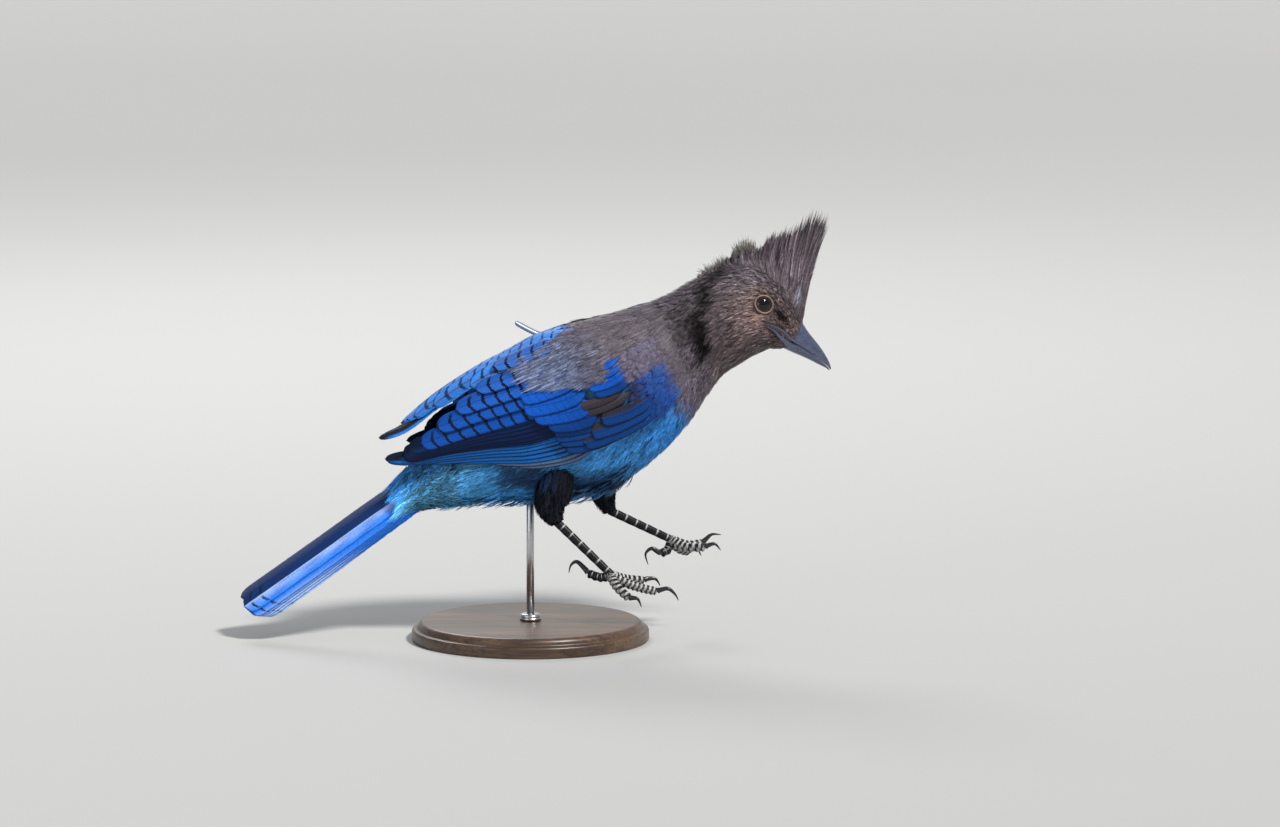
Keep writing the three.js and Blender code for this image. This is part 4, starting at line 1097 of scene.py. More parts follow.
def bristles(side_name, side, seed):
    """Stiff narrow feathers that arch forward from the forehead over the nostril."""
    draw = np.random.default_rng(seed)
    count = 60
    out_share = draw.uniform(0, 1, count)
    root = np.stack([124.2 - 3.6 * out_share, side * (0.8 + 5.6 * out_share), 152.5 - 6.0 * out_share], 1)
    tip = np.stack([129.2 - 4.6 * out_share, side * (0.7 + 4.1 * out_share), 144.2 - 2.2 * out_share], 1)
    root[:, 0] -= draw.uniform(0, 1.6, count)
    root[:, 2] += draw.uniform(0, 1.6, count)
    tip = root + (tip - root) * draw.uniform(0.6, 1.05, count)[:, None]
    share = np.linspace(0, 1, 5)[None, :, None]
    out = unit(np.stack([np.full(count, 0.8), side * (0.3 + out_share), np.full(count, 0.6)], 1))
    lay = root[:, None] * (1 - share) + tip[:, None] * share
    lay = lay + out[:, None] * (0.2 + 1.1 * np.sin(math.pi * np.minimum(1, share * 0.9 + 0.1)))
    facing = np.broadcast_to(out[:, None], lay.shape)
    tone = draw.uniform(0, 1, count)[:, None] ** 3
    colour = np.array([0.035, 0.026, 0.030]) * (1 - tone) + np.array([0.200, 0.130, 0.140]) * tone
    place = np.stack([out_share * 0.9 + 0.03, np.full(count, 0.5 + 0.2 * side)], 1)
    tufts(f"feathers_bristles_{side_name}", lay, facing, np.full(count, 0.55), colour, place, 5, seed + 1,
          ["dark_feathers"])


bristles("left", 1, 21)
bristles("right", -1, 23)


def wisps(seed):
    """Loose hair-like feathers that hang clear of the belly's lower edge."""
    draw = np.random.default_rng(seed)
    count = 460
    station = draw.uniform(2.5, 7.4, count)
    height = draw.uniform(-88, -52, count)
    turn = np.where(draw.uniform(0, 1, count) < 0.65, 180 - height, height)
    length = draw.uniform(10, 18, count)
    path, facing = paths_on(body, station, turn, length, draw.normal(0, 12, count), np.full(count, -1.5),
                            draw.uniform(0.6, 4.0, count))
    colour = body_colour(station, turn) * draw.uniform(0.3, 1.4, (count, 1))
    tufts("feathers_wisps", path, facing, np.full(count, 1.5), colour, body_place(station, turn), 5, seed + 1,
          ["blue_feathers"], ruffle=0.3)


wisps(25)


# The thighs' feathers: short and black, lying down the shin to the heel.
# They take the flank's near-black blue, partly painted shadow of the wing, and then the belly's blue where the
# thigh goes into the body.
def spot(u, v):
    """Places on the map of colours for shares from 0 to 1, a little inside its edges."""
    return np.stack([u * 0.9 + 0.03, v * 0.9 + 0.03], 1)


def thigh_coat(side_name, seed):
    draw = np.random.default_rng(seed)
    path, radii = THIGHS[side_name]
    count = 620
    share = draw.uniform(0, 1, count) ** 0.75 * 3.75 + 0.15
    turn = draw.uniform(0, 2 * math.pi, count)
    length = np.interp(share, [0, 2.5, 4], [9, 7.5, 3.4])
    whole = np.linalg.norm(np.diff(np.array(path, float), axis=0), axis=1).sum()
    stops = np.linspace(0, 1, 5)[None, :]
    t = np.minimum(share[:, None] + (length / whole * 4)[:, None] * stops, 4.15)
    centre = along(path, np.minimum(t, 4))
    tangent = unit(along(path, np.minimum(t + 0.05, 4)) - along(path, np.minimum(t, 3.9)))
    side, up = crosswise(tangent)
    out = unit(side * (np.cos(turn) * 0.85)[:, None, None] + up * np.sin(turn)[:, None, None])
    radius = along(np.array(radii, float)[:, None], np.minimum(t, 4))[..., 0]
    lift = radius - 1.7 * (1 - stops) ** 1.5 + draw.uniform(-0.1, 1.1, count)[:, None] * stops
    lay = centre + out * lift[..., None]
    tip_height = lay[:, -1, 2]
    colour = blend_colours(THIGH_BLACK, SHADED_FLANK_BLUE * 1.5, smooth_step(69, 74, tip_height))
    colour = blend_colours(colour, BELLY_BLUE * 0.8, smooth_step(74, 80, tip_height))
    colour = colour * draw.uniform(0.5, 1.7, (count, 1))
    width = np.interp(share, [0, 4], [1.7, 0.8])
    tufts(f"feathers_thigh_{side_name}", lay, out, width, colour, spot(share / 4, turn / (2 * math.pi)), 9,
          seed + 1, ["black_feathers"])


thigh_coat("right", 31)
thigh_coat("left", 33)


# The tail: twelve stiff quilled feathers in six pairs, the middle pair on top and each pair outwards a layer
# lower. Blue with a painted lilac sheen above, barred near the tips, dark on the hidden webs, and painted navy as
# shade over the left half.
TAIL_RIDGE = [[-50, 78.5], [-72, 64], [-104, 41], [-136.5, 18]]
TAIL_ROLL = 30
TAIL_HALF = 6.2
TAIL_LAYER = 0.85
TAIL_ROOF = 13
TAIL_FAN = 0.6
TAIL_GRADUATION = 0.014
TAIL_OVERLAP = 2.7
TAIL_BLUE = np.array([0.028, 0.190, 0.760])
TAIL_LILAC_SHEEN = np.array([0.340, 0.490, 0.930])
TAIL_PALE_AND_GLINT = np.array([0.480, 0.640, 0.930])
TAIL_NAVY_AND_SHADE = np.array([0.005, 0.026, 0.125])
VANE_COLUMNS = np.array([-1, -0.8, -0.55, -0.3, -0.06, 0, 0.06, 0.3, 0.55, 0.8, 1])

quilled, node, tone = material("quilled_feathers", 0.5, Specular_IOR_Level=0.35,
                               Specular_Tint=(0.4, 0.6, 1, 1))
plume = node("Attribute", attribute_name="plume")
lay = node("Attribute", attribute_name="lay").outputs["Vector"]
barring = node("Attribute", attribute_name="barring").outputs["Fac"]
pitch = node("Attribute", attribute_name="pitch").outputs["Fac"]
parts = node("SeparateXYZ", in_Vector=lay)
wobble = node("TexNoise", in_Vector=lay, in_Scale=0.9, in_Detail=2.0)
sway = node("MapRange", in_Value=wobble, in_To_Min=-0.9, in_To_Max=0.9)
placed = node("Math", operation="ADD", in_0=parts.outputs["Z"], in_1=sway)
counted = node("Math", operation="DIVIDE", in_0=placed, in_1=pitch)
fraction = node("Math", operation="FRACT", in_0=counted)
centred = node("Math", operation="SUBTRACT", in_0=fraction, in_1=0.5)
distance = node("Math", operation="ABSOLUTE", in_0=centred)
bar = node("MapRange", interpolation_type="SMOOTHSTEP", in_Value=distance, in_From_Min=0.37, in_From_Max=0.41)
barred = node("Math", operation="MULTIPLY", in_0=bar, in_1=barring)
ink = node("Mix", data_type="RGBA", in_0=barred, in_6=plume, in_7=(0.004, 0.006, 0.016, 1))
across_part = node("Math", operation="MULTIPLY", in_0=parts.outputs["X"], in_1=0.4)
barb_place = node("CombineXYZ", in_X=across_part, in_Y=placed)
barbs_noise = node("TexNoise", in_Vector=barb_place, in_Scale=2.6, in_Detail=3.0)
barb_light = node("MapRange", in_Value=barbs_noise, in_From_Min=0.3, in_From_Max=0.7, in_To_Min=0.7,
                  in_To_Max=1.3)
node("VectorMath", "Base Color", operation="SCALE", in_0=ink.outputs[2], in_Scale=barb_light)
node("Bump", "Normal", in_Strength=0.3, in_Distance=0.0002, in_Height=barbs_noise)


class Vanes:
    """Gathers quilled feathers, each a thin closed vane with a raised shaft, into one mesh."""

    def __init__(self, seed):
        self.draw = np.random.default_rng(seed)
        self.points = []
        self.triangles = []
        self.colours = []
        self.lays = []
        self.barrings = []
        self.pitches = []
        self.cells = []
        self.count = 0

    def add(self, path, facing, near, far, tilt, colour, barring=None, rows=44, pitch=5.0, camber=0.1,
            blunt=1.3, quill=0.4, thick=0.2, slant=1.3, ripple=0.025):
        """near and far are the half widths at -1 and at 1 across, and tilt turns the side at 1 out."""
        path = np.asarray(path, float)
        length = np.linalg.norm(np.diff(path, axis=0), axis=1).sum()
        tangent = unit(np.gradient(path, axis=0))
        across = unit(np.cross(facing, tangent))
        out = np.cross(tangent, across)
        lean = math.radians(tilt)
        across, out = (across * math.cos(lean) + np.cross(tangent, across) * math.sin(lean),
                       out * math.cos(lean) + np.cross(tangent, out) * math.sin(lean))
        half = (near + far) / 2
        v = np.linspace(0, 1, rows)[:, None]
        c = VANE_COLUMNS[None, :]
        x = v + slant * half / length * np.abs(c) * (1 - v)
        blunt_share = min(0.6, blunt * half / length)
        tip = np.clip((x - 1 + blunt_share) / blunt_share, 0, 1)
        outline = (quill + (1 - quill) * smooth_step(0, 0.34, x)) * np.sqrt(np.maximum(1 - tip ** 2.3, 0.0))
        outline = outline * (1 + self.draw.normal(0, 0.012, (rows, 1)) * np.abs(c))
        width = np.where(c < 0, near, far) * outline
        lateral = c * width
        at = np.clip(x, 0, 1) * (len(path) - 1)
        i = np.clip(np.floor(at).astype(int), 0, len(path) - 2)
        f = (at - i)[..., None]

        def between(values):
            return values[i] * (1 - f) + values[i + 1] * f

        wave = ripple * np.where(np.arange(rows)[:, None] % 2, 1, -1) * np.abs(c) ** 0.5
        shaft = np.where(np.abs(c) < 0.03, 0.22, 0) * (1 - 0.8 * v) * min(1.0, half / 4)
        lift = shaft + wave - camber * half * c ** 2
        middle = between(path) + between(across) * lateral[..., None] + between(out) * lift[..., None]
        body_thick = thick * (1 - 0.55 * np.abs(c)) * (1 - 0.5 * v)
        under = middle - between(out) * body_thick[..., None]
        points = np.concatenate([middle.reshape(-1, 3), under.reshape(-1, 3)])
        columns = len(VANE_COLUMNS)
        base = rows * columns
        sheet = grid_triangles(rows, columns)
        triangles = [sheet[:, ::-1], sheet + base]
        left = np.arange(rows - 1) * columns
        start = np.arange(columns - 1)
        # The rim joins the two sheets along both sides, at the root and at the tip
        for edge, step, corners in ((left, columns, [2, 1, 0]), (left + columns - 1, columns, [1, 2, 0]),
                                    (start, 1, [1, 2, 0]), (start + base - columns, 1, [2, 1, 0])):
            triangles.append(np.stack([edge, edge + step, edge + base], 1)[:, corners])
            triangles.append(np.stack([edge + step, edge + step + base, edge + base], 1)[:, corners])
        self.points.append(points)
        self.triangles.append(np.concatenate(triangles) + self.count)
        self.count += len(points)
        c_all = np.broadcast_to(c, x.shape)
        shade = colour(c_all, x) * self.draw.uniform(0.9, 1.12)
        shade = (shade * np.where(np.abs(c_all) < 0.03, 0.35, 1.0)[..., None]).reshape(-1, 3)
        self.colours += [shade, shade * 0.6]
        offset = self.draw.uniform(-0.6, 0.6)
        along_mm = (1 - x) * length + offset - 0.42 * half * c_all ** 2
        lay_at = np.stack([c_all * half + self.draw.uniform(0, 50), x * 10, along_mm], -1).reshape(-1, 3)
        self.lays += [lay_at, lay_at]
        bars = (barring(c_all, x) if barring else np.zeros_like(x)).ravel()
        self.barrings += [bars, bars]
        self.pitches += [np.full(len(points), pitch)]
        self.cells.append((c_all, x))

    def build(self, name, slot, cad_node):
        obj = mesh_object(name, np.concatenate(self.points), np.concatenate(self.triangles))
        add_colour(obj, np.concatenate(self.colours))
        lays = np.concatenate(self.lays).astype(np.float32)
        obj.data.attributes.new("lay", "FLOAT_VECTOR", "POINT").data.foreach_set("vector", lays.ravel())
        add_value(obj, "barring", np.concatenate(self.barrings))
        add_value(obj, "pitch", np.concatenate(self.pitches))
        number = len(self.cells) * 2
        across_cells = math.ceil(math.sqrt(number * 4))
        down_cells = math.ceil(number / across_cells)
        places = []
        for index, (c, x) in enumerate(self.cells):
            for sheet in (0, 1):
                cell = index * 2 + sheet
                column, row = cell % across_cells, cell // across_cells
                u = (column + 0.08 + 0.84 * (c + 1) / 2) / across_cells
                w = (row + 0.04 + 0.92 * np.clip(x, 0, 1)) / down_cells
                places.append(np.stack([u.ravel(), w.ravel()], 1))
        add_map(obj, np.concatenate(places))
        fitted(obj, quilled, slot, cad_node)


def tail_frame(share):
    """The ridge's place, its run, the way to the left and the top's facing, at shares of its length."""
    def ridge(s):
        flat = along(TAIL_RIDGE, np.asarray(s) * 3)
        return np.stack([flat[..., 0], np.zeros_like(flat[..., 0]), flat[..., 1]], -1)
    run = unit(ridge(share + 0.01) - ridge(share - 0.01))
    lean = math.radians(-TAIL_ROLL)
    left = np.array([0, 1.0, 0]) * math.cos(lean) + np.cross(run, [0, 1.0, 0]) * math.sin(lean)
    return ridge(share), run, left, np.cross(left, run)


def tail_colour(side, pair):
    """On the right half the middle pair shows a web with painted lilac sheen beside a navy one, and the others a
    strip of their outer webs, with pale edges near the tips that are partly painted highlight; the left half is
    all navy, painted shade.
    """
    def colour(c, x):
        outward = c * side
        # A side below zero is the left half, painted navy all over as painted shade on the half that faces away
        # from the light.
        if side < 0:
            return TAIL_NAVY_AND_SHADE * (0.7 + 0.6 * smooth_step(0.2, 1, outward))[..., None]
        if pair == 0:
            near_shaft = smooth_step(0.95, 0.15, outward) * (0.75 + 0.25 * np.sin(x * 23 + c * 5))
            lit = blend_colours(TAIL_BLUE * 1.25, TAIL_LILAC_SHEEN, near_shaft)
            lit = blend_colours(TAIL_NAVY_AND_SHADE, lit, smooth_step(0.02, 0.12, x))
            lit = lit * (1 + 0.2 * np.sin(outward * 17 + x * 9) * np.sin(x * 37 + outward * 6))[..., None]
            shown = blend_colours(TAIL_NAVY_AND_SHADE, lit, smooth_step(-0.04, 0.04, outward))
            return np.where(np.abs(outward)[..., None] < 0.03, TAIL_PALE_AND_GLINT * 2.6, shown)
        # The rim is a pale outer edge near the tip, partly the feathers' pale edges and partly painted highlight.
        rim = smooth_step(0.72, 0.86, outward) * (0.35 if pair < 3 else 0.85) * smooth_step(0.45, 0.8, x)
        lit = blend_colours(TAIL_BLUE * (1.15 - 0.08 * pair), TAIL_PALE_AND_GLINT, rim)
        return blend_colours(TAIL_NAVY_AND_SHADE, lit, smooth_step(-0.1, 0.3, outward))
    return colour


def tail_bars(c, x):
    off_shaft = smooth_step(0.02, 0.25, np.abs(c)) * smooth_step(1.05, 0.8, np.abs(c))
    return 0.9 * smooth_step(0.82, 0.90, x) * off_shaft


tail = Vanes(51)
for side in (1, -1):
    for pair in range(5, -1, -1):
        share = np.linspace(0, 1, 40) * (1 - TAIL_GRADUATION * pair)
        place, run, left, top = tail_frame(share)
        roof = math.radians(TAIL_ROOF)
        out = left * side * math.cos(roof) - top * math.sin(roof)
        spread = TAIL_FAN * pair * share / share[-1]
        crossing = TAIL_OVERLAP if side < 0 and pair == 0 else 0
        narrow = 0.6 + 0.4 * smooth_step(0, 0.2, share)
        depth = TAIL_LAYER * (pair + (1 if side > 0 else 0))
        offset = TAIL_HALF * narrow + spread + 0.3 - crossing
        path = place - top * depth + out * offset[:, None]
        facing = unit(np.cross(out, run)) * side
        tail.add(path, facing, TAIL_HALF, TAIL_HALF, 0, tail_colour(-side, pair), tail_bars, rows=84, pitch=5.6,
                 camber=0.05, blunt=1.5, quill=0.75, thick=0.3)
tail.build("tail_feathers", "blue_feathers", "tail")

# The coverts over and under the tail's base lie on a bed that runs on from the body, in rows like the body's
COVERT_BED = Form([
    [-35, 98, -29.5, 66, 15, 13],
    [-42.5, 90.5, -39, 65, 12, 15],
    [-51.5, 84, -47, 64.5, 10.4, 19],
    [-60.5, 77, -56, 62.5, 10, 24],
    [-70, 68, -64.6, 57, 11, 28],
    [-80, 60, -74, 51.5, 13, 30],
    [-88, 54, -82, 46.8, 13, 30],
])
draw = np.random.default_rng(55)
covert_rows = []
for row, station in enumerate(np.arange(0.2, 2.75, 0.17)):
    turn = (np.arange(34) + 0.5 * (row % 2)) * 360 / 34 + draw.uniform(-3.5, 3.5, 34)
    covert_rows.append(np.stack([station + draw.uniform(-0.09, 0.09, 34), turn], 1))
rows_down, round_it = np.concatenate(covert_rows).T
count = len(round_it)
covert_length = np.interp(rows_down, [0, 2.7], [13, 15]) * draw.uniform(0.8, 1.2, count)
covert_path, covert_facing = paths_on(COVERT_BED, rows_down, round_it, covert_length,
                                      draw.normal(0, 7, count), np.full(count, -2.2),
                                      draw.uniform(-0.1, 0.7, count), way=1)
covert_colour = blend_colours(LIT_VENT_BLUE, RUMP_BLUE, smooth_step(10, 50, body_height(round_it)))
covert_colour = covert_colour * draw.uniform(0.75, 1.3, (count, 1))
tufts("feathers_tail_coverts", covert_path, covert_facing, np.full(count, 2.2), covert_colour,
      spot(rows_down / 5, (round_it % 360) / 360), 15, 56, ["blue_feathers"], ruffle=0.16, streak=(0.2, 0.3))


# The wings, folded over the back: long primaries, secondaries and tertials, and over their roots the rows of
# coverts. Every feather is quilled, and its lower edge lies over the one below it.
COBALT = np.array([0.003, 0.076, 0.430])
ULTRAMARINE = np.array([0.003, 0.015, 0.110])
SKY = np.array([0.040, 0.235, 0.780])
NEAR_LILAC = np.array([0.035, 0.140, 0.520])
WING_BLACK = np.array([0.005, 0.006, 0.012])
WING_BROWN = np.array([0.040, 0.028, 0.030])
EDGE_BLUE = np.array([0.008, 0.125, 0.450])
PRIMARY_GREY = np.array([0.095, 0.150, 0.270])
COVERT_BLUE = np.array([0.003, 0.040, 0.190])

# Each row: name, roots and tips as (station, degrees above the side) from the lowest feather up, how many,
# half width, tilt, lift at the arm and along it, extra lift a feather, look, strength and pitch of its bars
WING_ROWS = [
    ("primaries", [[5.5, -13], [5.3, 2]],
     [[3.4, -16], [2.5, -13], [1.6, -9], [0.9, -4], [0.35, 1], [0.17, 5], [0.6, 9]], 8, 3.3, 13,
     (0.9, 1.6), 0.0, "primary", 0.0, 5.0),
    ("secondaries", [[5.5, 5], [5.6, 25]], [[0.75, 10], [0.8, 15], [1.0, 21]], 7, 3.9, 10, (1.3, 2.3), 0.1,
     "secondary", 0.0, 5.4),
    ("tertials", [[5.7, 27], [5.8, 38], [5.9, 50], [5.9, 64]],
     [[1.35, 22], [1.85, 33], [2.4, 43], [2.95, 53], [3.5, 68]], 5, 4.8, 6,
     (1.8, 3.2), 0.5, "tertial", 1.0, 6.2),
    ("primary_coverts", [[6.7, -12], [6.5, 1]], [[4.7, -8], [4.55, 0], [4.6, 5]], 4, 3.2, 9, (2.2, 3.4), 0.0,
     "covert", 0.0, 5.0),
    ("greater_coverts", [[6.1, 7], [6.0, 52]], [[4.45, 12], [4.2, 20], [4.05, 30], [4.1, 41], [4.3, 52]],
     6, 4.8, 8, (2.9, 4.7), 0.0, "bright", 0.22, 3.2),
    ("alula", [[7.7, -12], [7.5, -2]], [[5.2, -8], [5.5, -4], [5.95, 1]], 3, 3.7, 9, (2.6, 4.2), 0.3,
     "covert", 0.0, 5.0),
    ("marginal_coverts", [[7.0, 9], [6.9, 14]], [[5.6, 10], [5.5, 15]], 2, 2.2, 8, (3.0, 4.4), 0.2,
     "brown", 0.0, 5.0),
    ("median_coverts", [[7.1, 19], [7.1, 36]], [[6.05, 19], [6.0, 27], [5.9, 36]], 4, 2.9, 8,
     (3.4, 4.9), 0.0, "bright", 0.0, 3.4),
]
LEFT_LOWERED = {"primaries": (0.6, -14), "secondaries": (0.6, -12), "tertials": (0.4, -12)}
# The far wing's inner feathers cross over the back, so that they show above the near wing.
# Here the degrees go on past 90 over the top, and the last feather of a row is the nearest and lies highest.
FAR_ROWS = [
    ("far_inner", [[5.4, 46], [5.6, 72]], [[1.45, 50], [1.15, 66], [0.9, 84]], 6, 5, 3, (0.2, 0.5), 0.05,
     "secondary", 0.0, 5.0),
    ("far_points", [[4.2, 80], [4.2, 108]], [[1.1, 94], [0.85, 100], [0.45, 110], [0.22, 119]],
     5, 2.5, 3, (0.2, 0.6), 0.12, "point", 0.0, 5.0),
    ("inner_tertials", [[5.8, 66], [6.0, 84], [6.2, 100], [6.4, 112]],
     [[0.95, 88], [1.2, 98], [1.5, 110], [2.5, 116], [3.8, 120]], 6, 5.2, 3,
     (0.8, 1.4), 0.35, "tertial", 0.85, 6.4),
]


def wing_look(look, far_side, up):
    """A colour for each place on a feather, from its upper edge at -1 to its lower at 1, and along it.

    up is the feather's place in its row, from 0 for the lowest to 1 for the highest.
    """
    def colour(lower, x):
        if look == "primary":
            edge = smooth_step(0.42, 0.58, lower) * (1 - smooth_step(0.93, 1.0, x)) * smooth_step(1.0, 0.93, lower)
            return blend_colours(WING_BLACK, PRIMARY_GREY if up < 0.2 else EDGE_BLUE, edge)
        if look == "point":
            edge = smooth_step(-0.1, -0.6, lower) * (1 - smooth_step(0.88, 0.97, x))
            return blend_colours(WING_BLACK, SKY * 0.8, edge)
        if look == "secondary":
            deep = ULTRAMARINE + (COBALT * 0.4 - ULTRAMARINE) * up ** 2
            shown = blend_colours(deep * 0.1, deep * 0.5, smooth_step(0.1, 0.8, lower))
            return blend_colours(shown, WING_BLACK, 0.85 * smooth_step(0.86, 0.96, lower))
        if look == "tertial":
            blue = SKY if far_side else COBALT + (NEAR_LILAC - COBALT) * up ** 2
            shown = blue * (0.8 + 0.3 * smooth_step(-0.8, 0.6, lower))[..., None]
            if far_side:
                shown = blend_colours(shown, WING_BROWN * 2.5, 0.5 * smooth_step(0.3, 0, np.abs(lower)))
            return blend_colours(shown, WING_BLACK, 0.85 * smooth_step(0.80, 0.95, lower))
        if look == "covert":
            shown = blend_colours(WING_BROWN * 0.7, COVERT_BLUE, smooth_step(-0.5, 0.0, lower))
            edge = 0.9 * smooth_step(0.90, 0.98, lower) + 0.6 * smooth_step(0.96, 1.0, x)
            return blend_colours(shown, WING_BLACK, edge)
        if look == "brown":
            return WING_BROWN * (1.2 - 0.5 * smooth_step(-0.5, 1, lower))[..., None]
        shown = COBALT * 1.15 * (0.75 + 0.35 * smooth_step(0, 1, x))[..., None]
        shown = shown * (0.45 + 0.55 * min(1, up * 4))
        return blend_colours(shown, WING_BLACK, 0.7 * smooth_step(0.88, 0.97, np.abs(lower)))
    return colour


def wing(side_name):
    side = 1 if side_name == "left" else -1
    lower = -side
    feathers = Vanes(61 if side > 0 else 62)
    rows = WING_ROWS + (FAR_ROWS if side > 0 else [])
    for name, roots, tips, count, half, tilt, lifts, step, look, strength, pitch in rows:
        for k in range(count):
            share = k / (count - 1)
            root = along(roots, share * (len(roots) - 1))
            tip = along(tips, share * (len(tips) - 1)) + feathers.draw.normal(0, 1, 2) * [0.03, 0.3]
            if side > 0 and name in LEFT_LOWERED:
                # The left wing's long feathers close lower down, out of the view from the right
                tip = tip + LEFT_LOWERED[name]
            s = np.linspace(0, 1, 32)
            station = root[0] + (tip[0] - root[0]) * s
            height = root[1] + (tip[1] - root[1]) * s - 2 * np.sin(math.pi * s)
            if side > 0 and name == "tertials":
                height = np.minimum(height, 44 + 2 * share)
            turn = turn_of(height, side)
            lift = lifts[0] + (lifts[1] - lifts[0]) * np.minimum(1, s / 0.3) + step * k
            path = bed.point(station, turn, lift)
            facing = bed.normal(station, turn)
            look_at = wing_look(look, side > 0, share)

            def colour(c, x, look_at=look_at):
                return look_at(c * lower, x)

            def bars(c, x, strength=strength):
                return strength * smooth_step(-1.0, -0.5, c * lower) * np.ones_like(x)

            short = look in ("covert", "bright", "brown")
            feathers.add(path, facing, half, half, -side * tilt, colour, bars if strength else None,
                         rows=30 if short else 60, pitch=pitch, quill=0.45, thick=0.18,
                         blunt=1.0 if short else 4.5 if look in ("primary", "point") else 1.5)
    if side > 0:
        # One loose feather with a white shaft stands off the middle of the back
        s = np.linspace(0, 1, 12)[:, None]
        stem = np.array([14, 3, 141.5]) * (1 - s) + np.array([-7, 4.5, 150.6]) * s
        stem = stem + np.sin(math.pi * s) * [0, 0, -0.8]
        feathers.add(stem, np.broadcast_to([0.1, -0.9, 0.4], stem.shape), 0.9, 1.7, 0,
                     lambda c, x: np.where(np.abs(c)[..., None] < 0.1, [1.7, 1.7, 1.75], [0.10, 0.15, 0.25]),
                     rows=40, blunt=2.0, ripple=0.3)
    feathers.build(f"wing_feathers_{side_name}", "wing_feathers", f"wing_{side_name}")


wing("left")
wing("right")


# The soft feathers over the wings' front and upper edges: blue and sooty ones on the shoulder, and the grey
# scapulars that flow from the back over the roots of the quilled feathers.
SHOULDER_BLUE = np.array([0.004, 0.050, 0.255])
SHOULDER_SOOT = np.array([0.022, 0.018, 0.028])
SHOULDER_PALE = np.array([0.150, 0.112, 0.140])
SCAPULAR_BLUE = np.array([0.125, 0.165, 0.290])


def staggered(draw, stations, heights, off_station, off_height):
    """Roots in staggered rows on the wing's bed, each moved by up to so many stations and degrees."""
    found = []
    for row, s in enumerate(stations):
        h = heights + 1.8 * (row % 2)
        high = h + draw.uniform(-off_height, off_height, len(h))
        found.append(np.stack([s + draw.uniform(-off_station, off_station, len(h)), high]))
    return np.concatenate(found, 1)


def bed_place(station, turn):
    return np.stack([station / 10 * 0.9 + 0.04, (turn % 360) / 360 * 0.9 + 0.04], 1)


def soft_wing_coat(side_name, side, seed):
    draw = np.random.default_rng(seed)
    station, height = staggered(draw, np.arange(6.5, 8.7, 0.105), np.arange(-17, 37, 3.6), 0.05, 1.4)
    floor = np.interp(height, [-18, -8, 6, 16, 24, 36], [7.4, 7.3, 7.2, 7.35, 7.3, 7.2])
    station, height = station[station > floor], height[station > floor]
    count = len(station)
    turn = turn_of(height, side)
    length = draw.uniform(7.5, 10, count)
    front = smooth_step(8.7, 7.6, station)
    path, facing = paths_on(bed, station, turn, length, side * draw.normal(-6, 3, count), -1.5 + 2.5 * front,
                            1.0 + 3.4 * front + draw.uniform(0, 0.35, count))
    soot = np.exp(-((station - 7.25) / 0.3) ** 2 - ((height - 10) / 8) ** 2)
    pale = smooth_step(13, 19, height) * smooth_step(7.0, 7.3, station)
    colour = blend_colours(SHOULDER_BLUE, SHOULDER_SOOT, 0.9 * soot)
    colour = blend_colours(colour, SHOULDER_PALE, 0.8 * pale)
    joining = smooth_step(8.1, 8.6, station + draw.normal(0, 0.03, count))
    colour = blend_colours(colour, body_colour(station + 0.9, turn), joining)
    width = 2.3 * draw.uniform(0.85, 1.2, count)
    tufts(f"feathers_shoulder_{side_name}", path, facing, width, colour, bed_place(station, turn), 15, seed + 1,
          ["wing_feathers"], ruffle=0.05, streak=(0.07, 0.2), fade=(0.6, 1.15))

    station, height = staggered(draw, np.arange(5.3, 8.65, 0.1), np.arange(10, 86, 3.6), 0.06, 1.8)
    kept = height > np.interp(station, [5.3, 5.7, 6.3, 7.0, 7.6, 8.2, 8.8, 9.4], [50, 34, 29, 29, 29, 24, 14, 10])
    station, height = station[kept], height[kept]
    count = len(station)
    turn = turn_of(height, side)
    length = np.interp(station, [5.3, 7, 8.6], [18, 16, 12]) * draw.uniform(0.85, 1.15, count)
    upper = smooth_step(86, 60, height) if side < 0 else smooth_step(80, 44, height)
    rise = np.interp(station, [5.3, 7, 7.9, 8.65], [5.6, 5.8, 2.6, 0.5]) * upper
    drift = side * draw.normal(-7, 4, count)
    path, facing = paths_on(bed, station, turn, length, drift, -1.7 + 0.75 * rise,
                            rise + draw.uniform(0, 0.4, count))
    colour = body_colour(station + 0.9, turn_of(np.maximum(height, 58), side))
    rear = smooth_step(7.6, 5.8, station) * smooth_step(80, 45, height)
    colour = blend_colours(colour, SCAPULAR_BLUE, 0.75 * rear)
    width = np.interp(station, [5.3, 7, 8.6], [3.1, 2.9, 2.1]) * draw.uniform(0.85, 1.15, count)
    tufts(f"feathers_scapular_{side_name}", path, facing, width, colour, bed_place(station, turn), 15, seed + 2,
          ["dark_feathers"], ruffle=0.05, streak=(0.08, 0.32), fade=(0.6, 1.15))


soft_wing_coat("left", 1, 81)
soft_wing_coat("right", -1, 84)


# The crest: long narrow feathers in ranks along the crown, rising together and closing at their tips.
# The crown's feathers sweep up its sides from the forehead, the brow and the back of the head.
CREST_ROOTS = [[127.5, 151], [126, 156], [125, 160], [121, 166], [116.5, 171], [112, 174], [108, 175.5],
               [104, 176], [98, 176], [91, 174.5], [84, 171]]
CREST_TIPS = [[140.6, 202.0], [138.2, 205.6], [133, 206], [127.5, 201.4], [121.6, 198], [113.8, 194.6],
              [107.6, 187.2], [101.5, 189], [95.5, 185], [88, 178.8], [78, 173.8]]
CREST_SPREAD = 5.2
CREST_CLOSE = 1.9
CREST_COUNT = 640

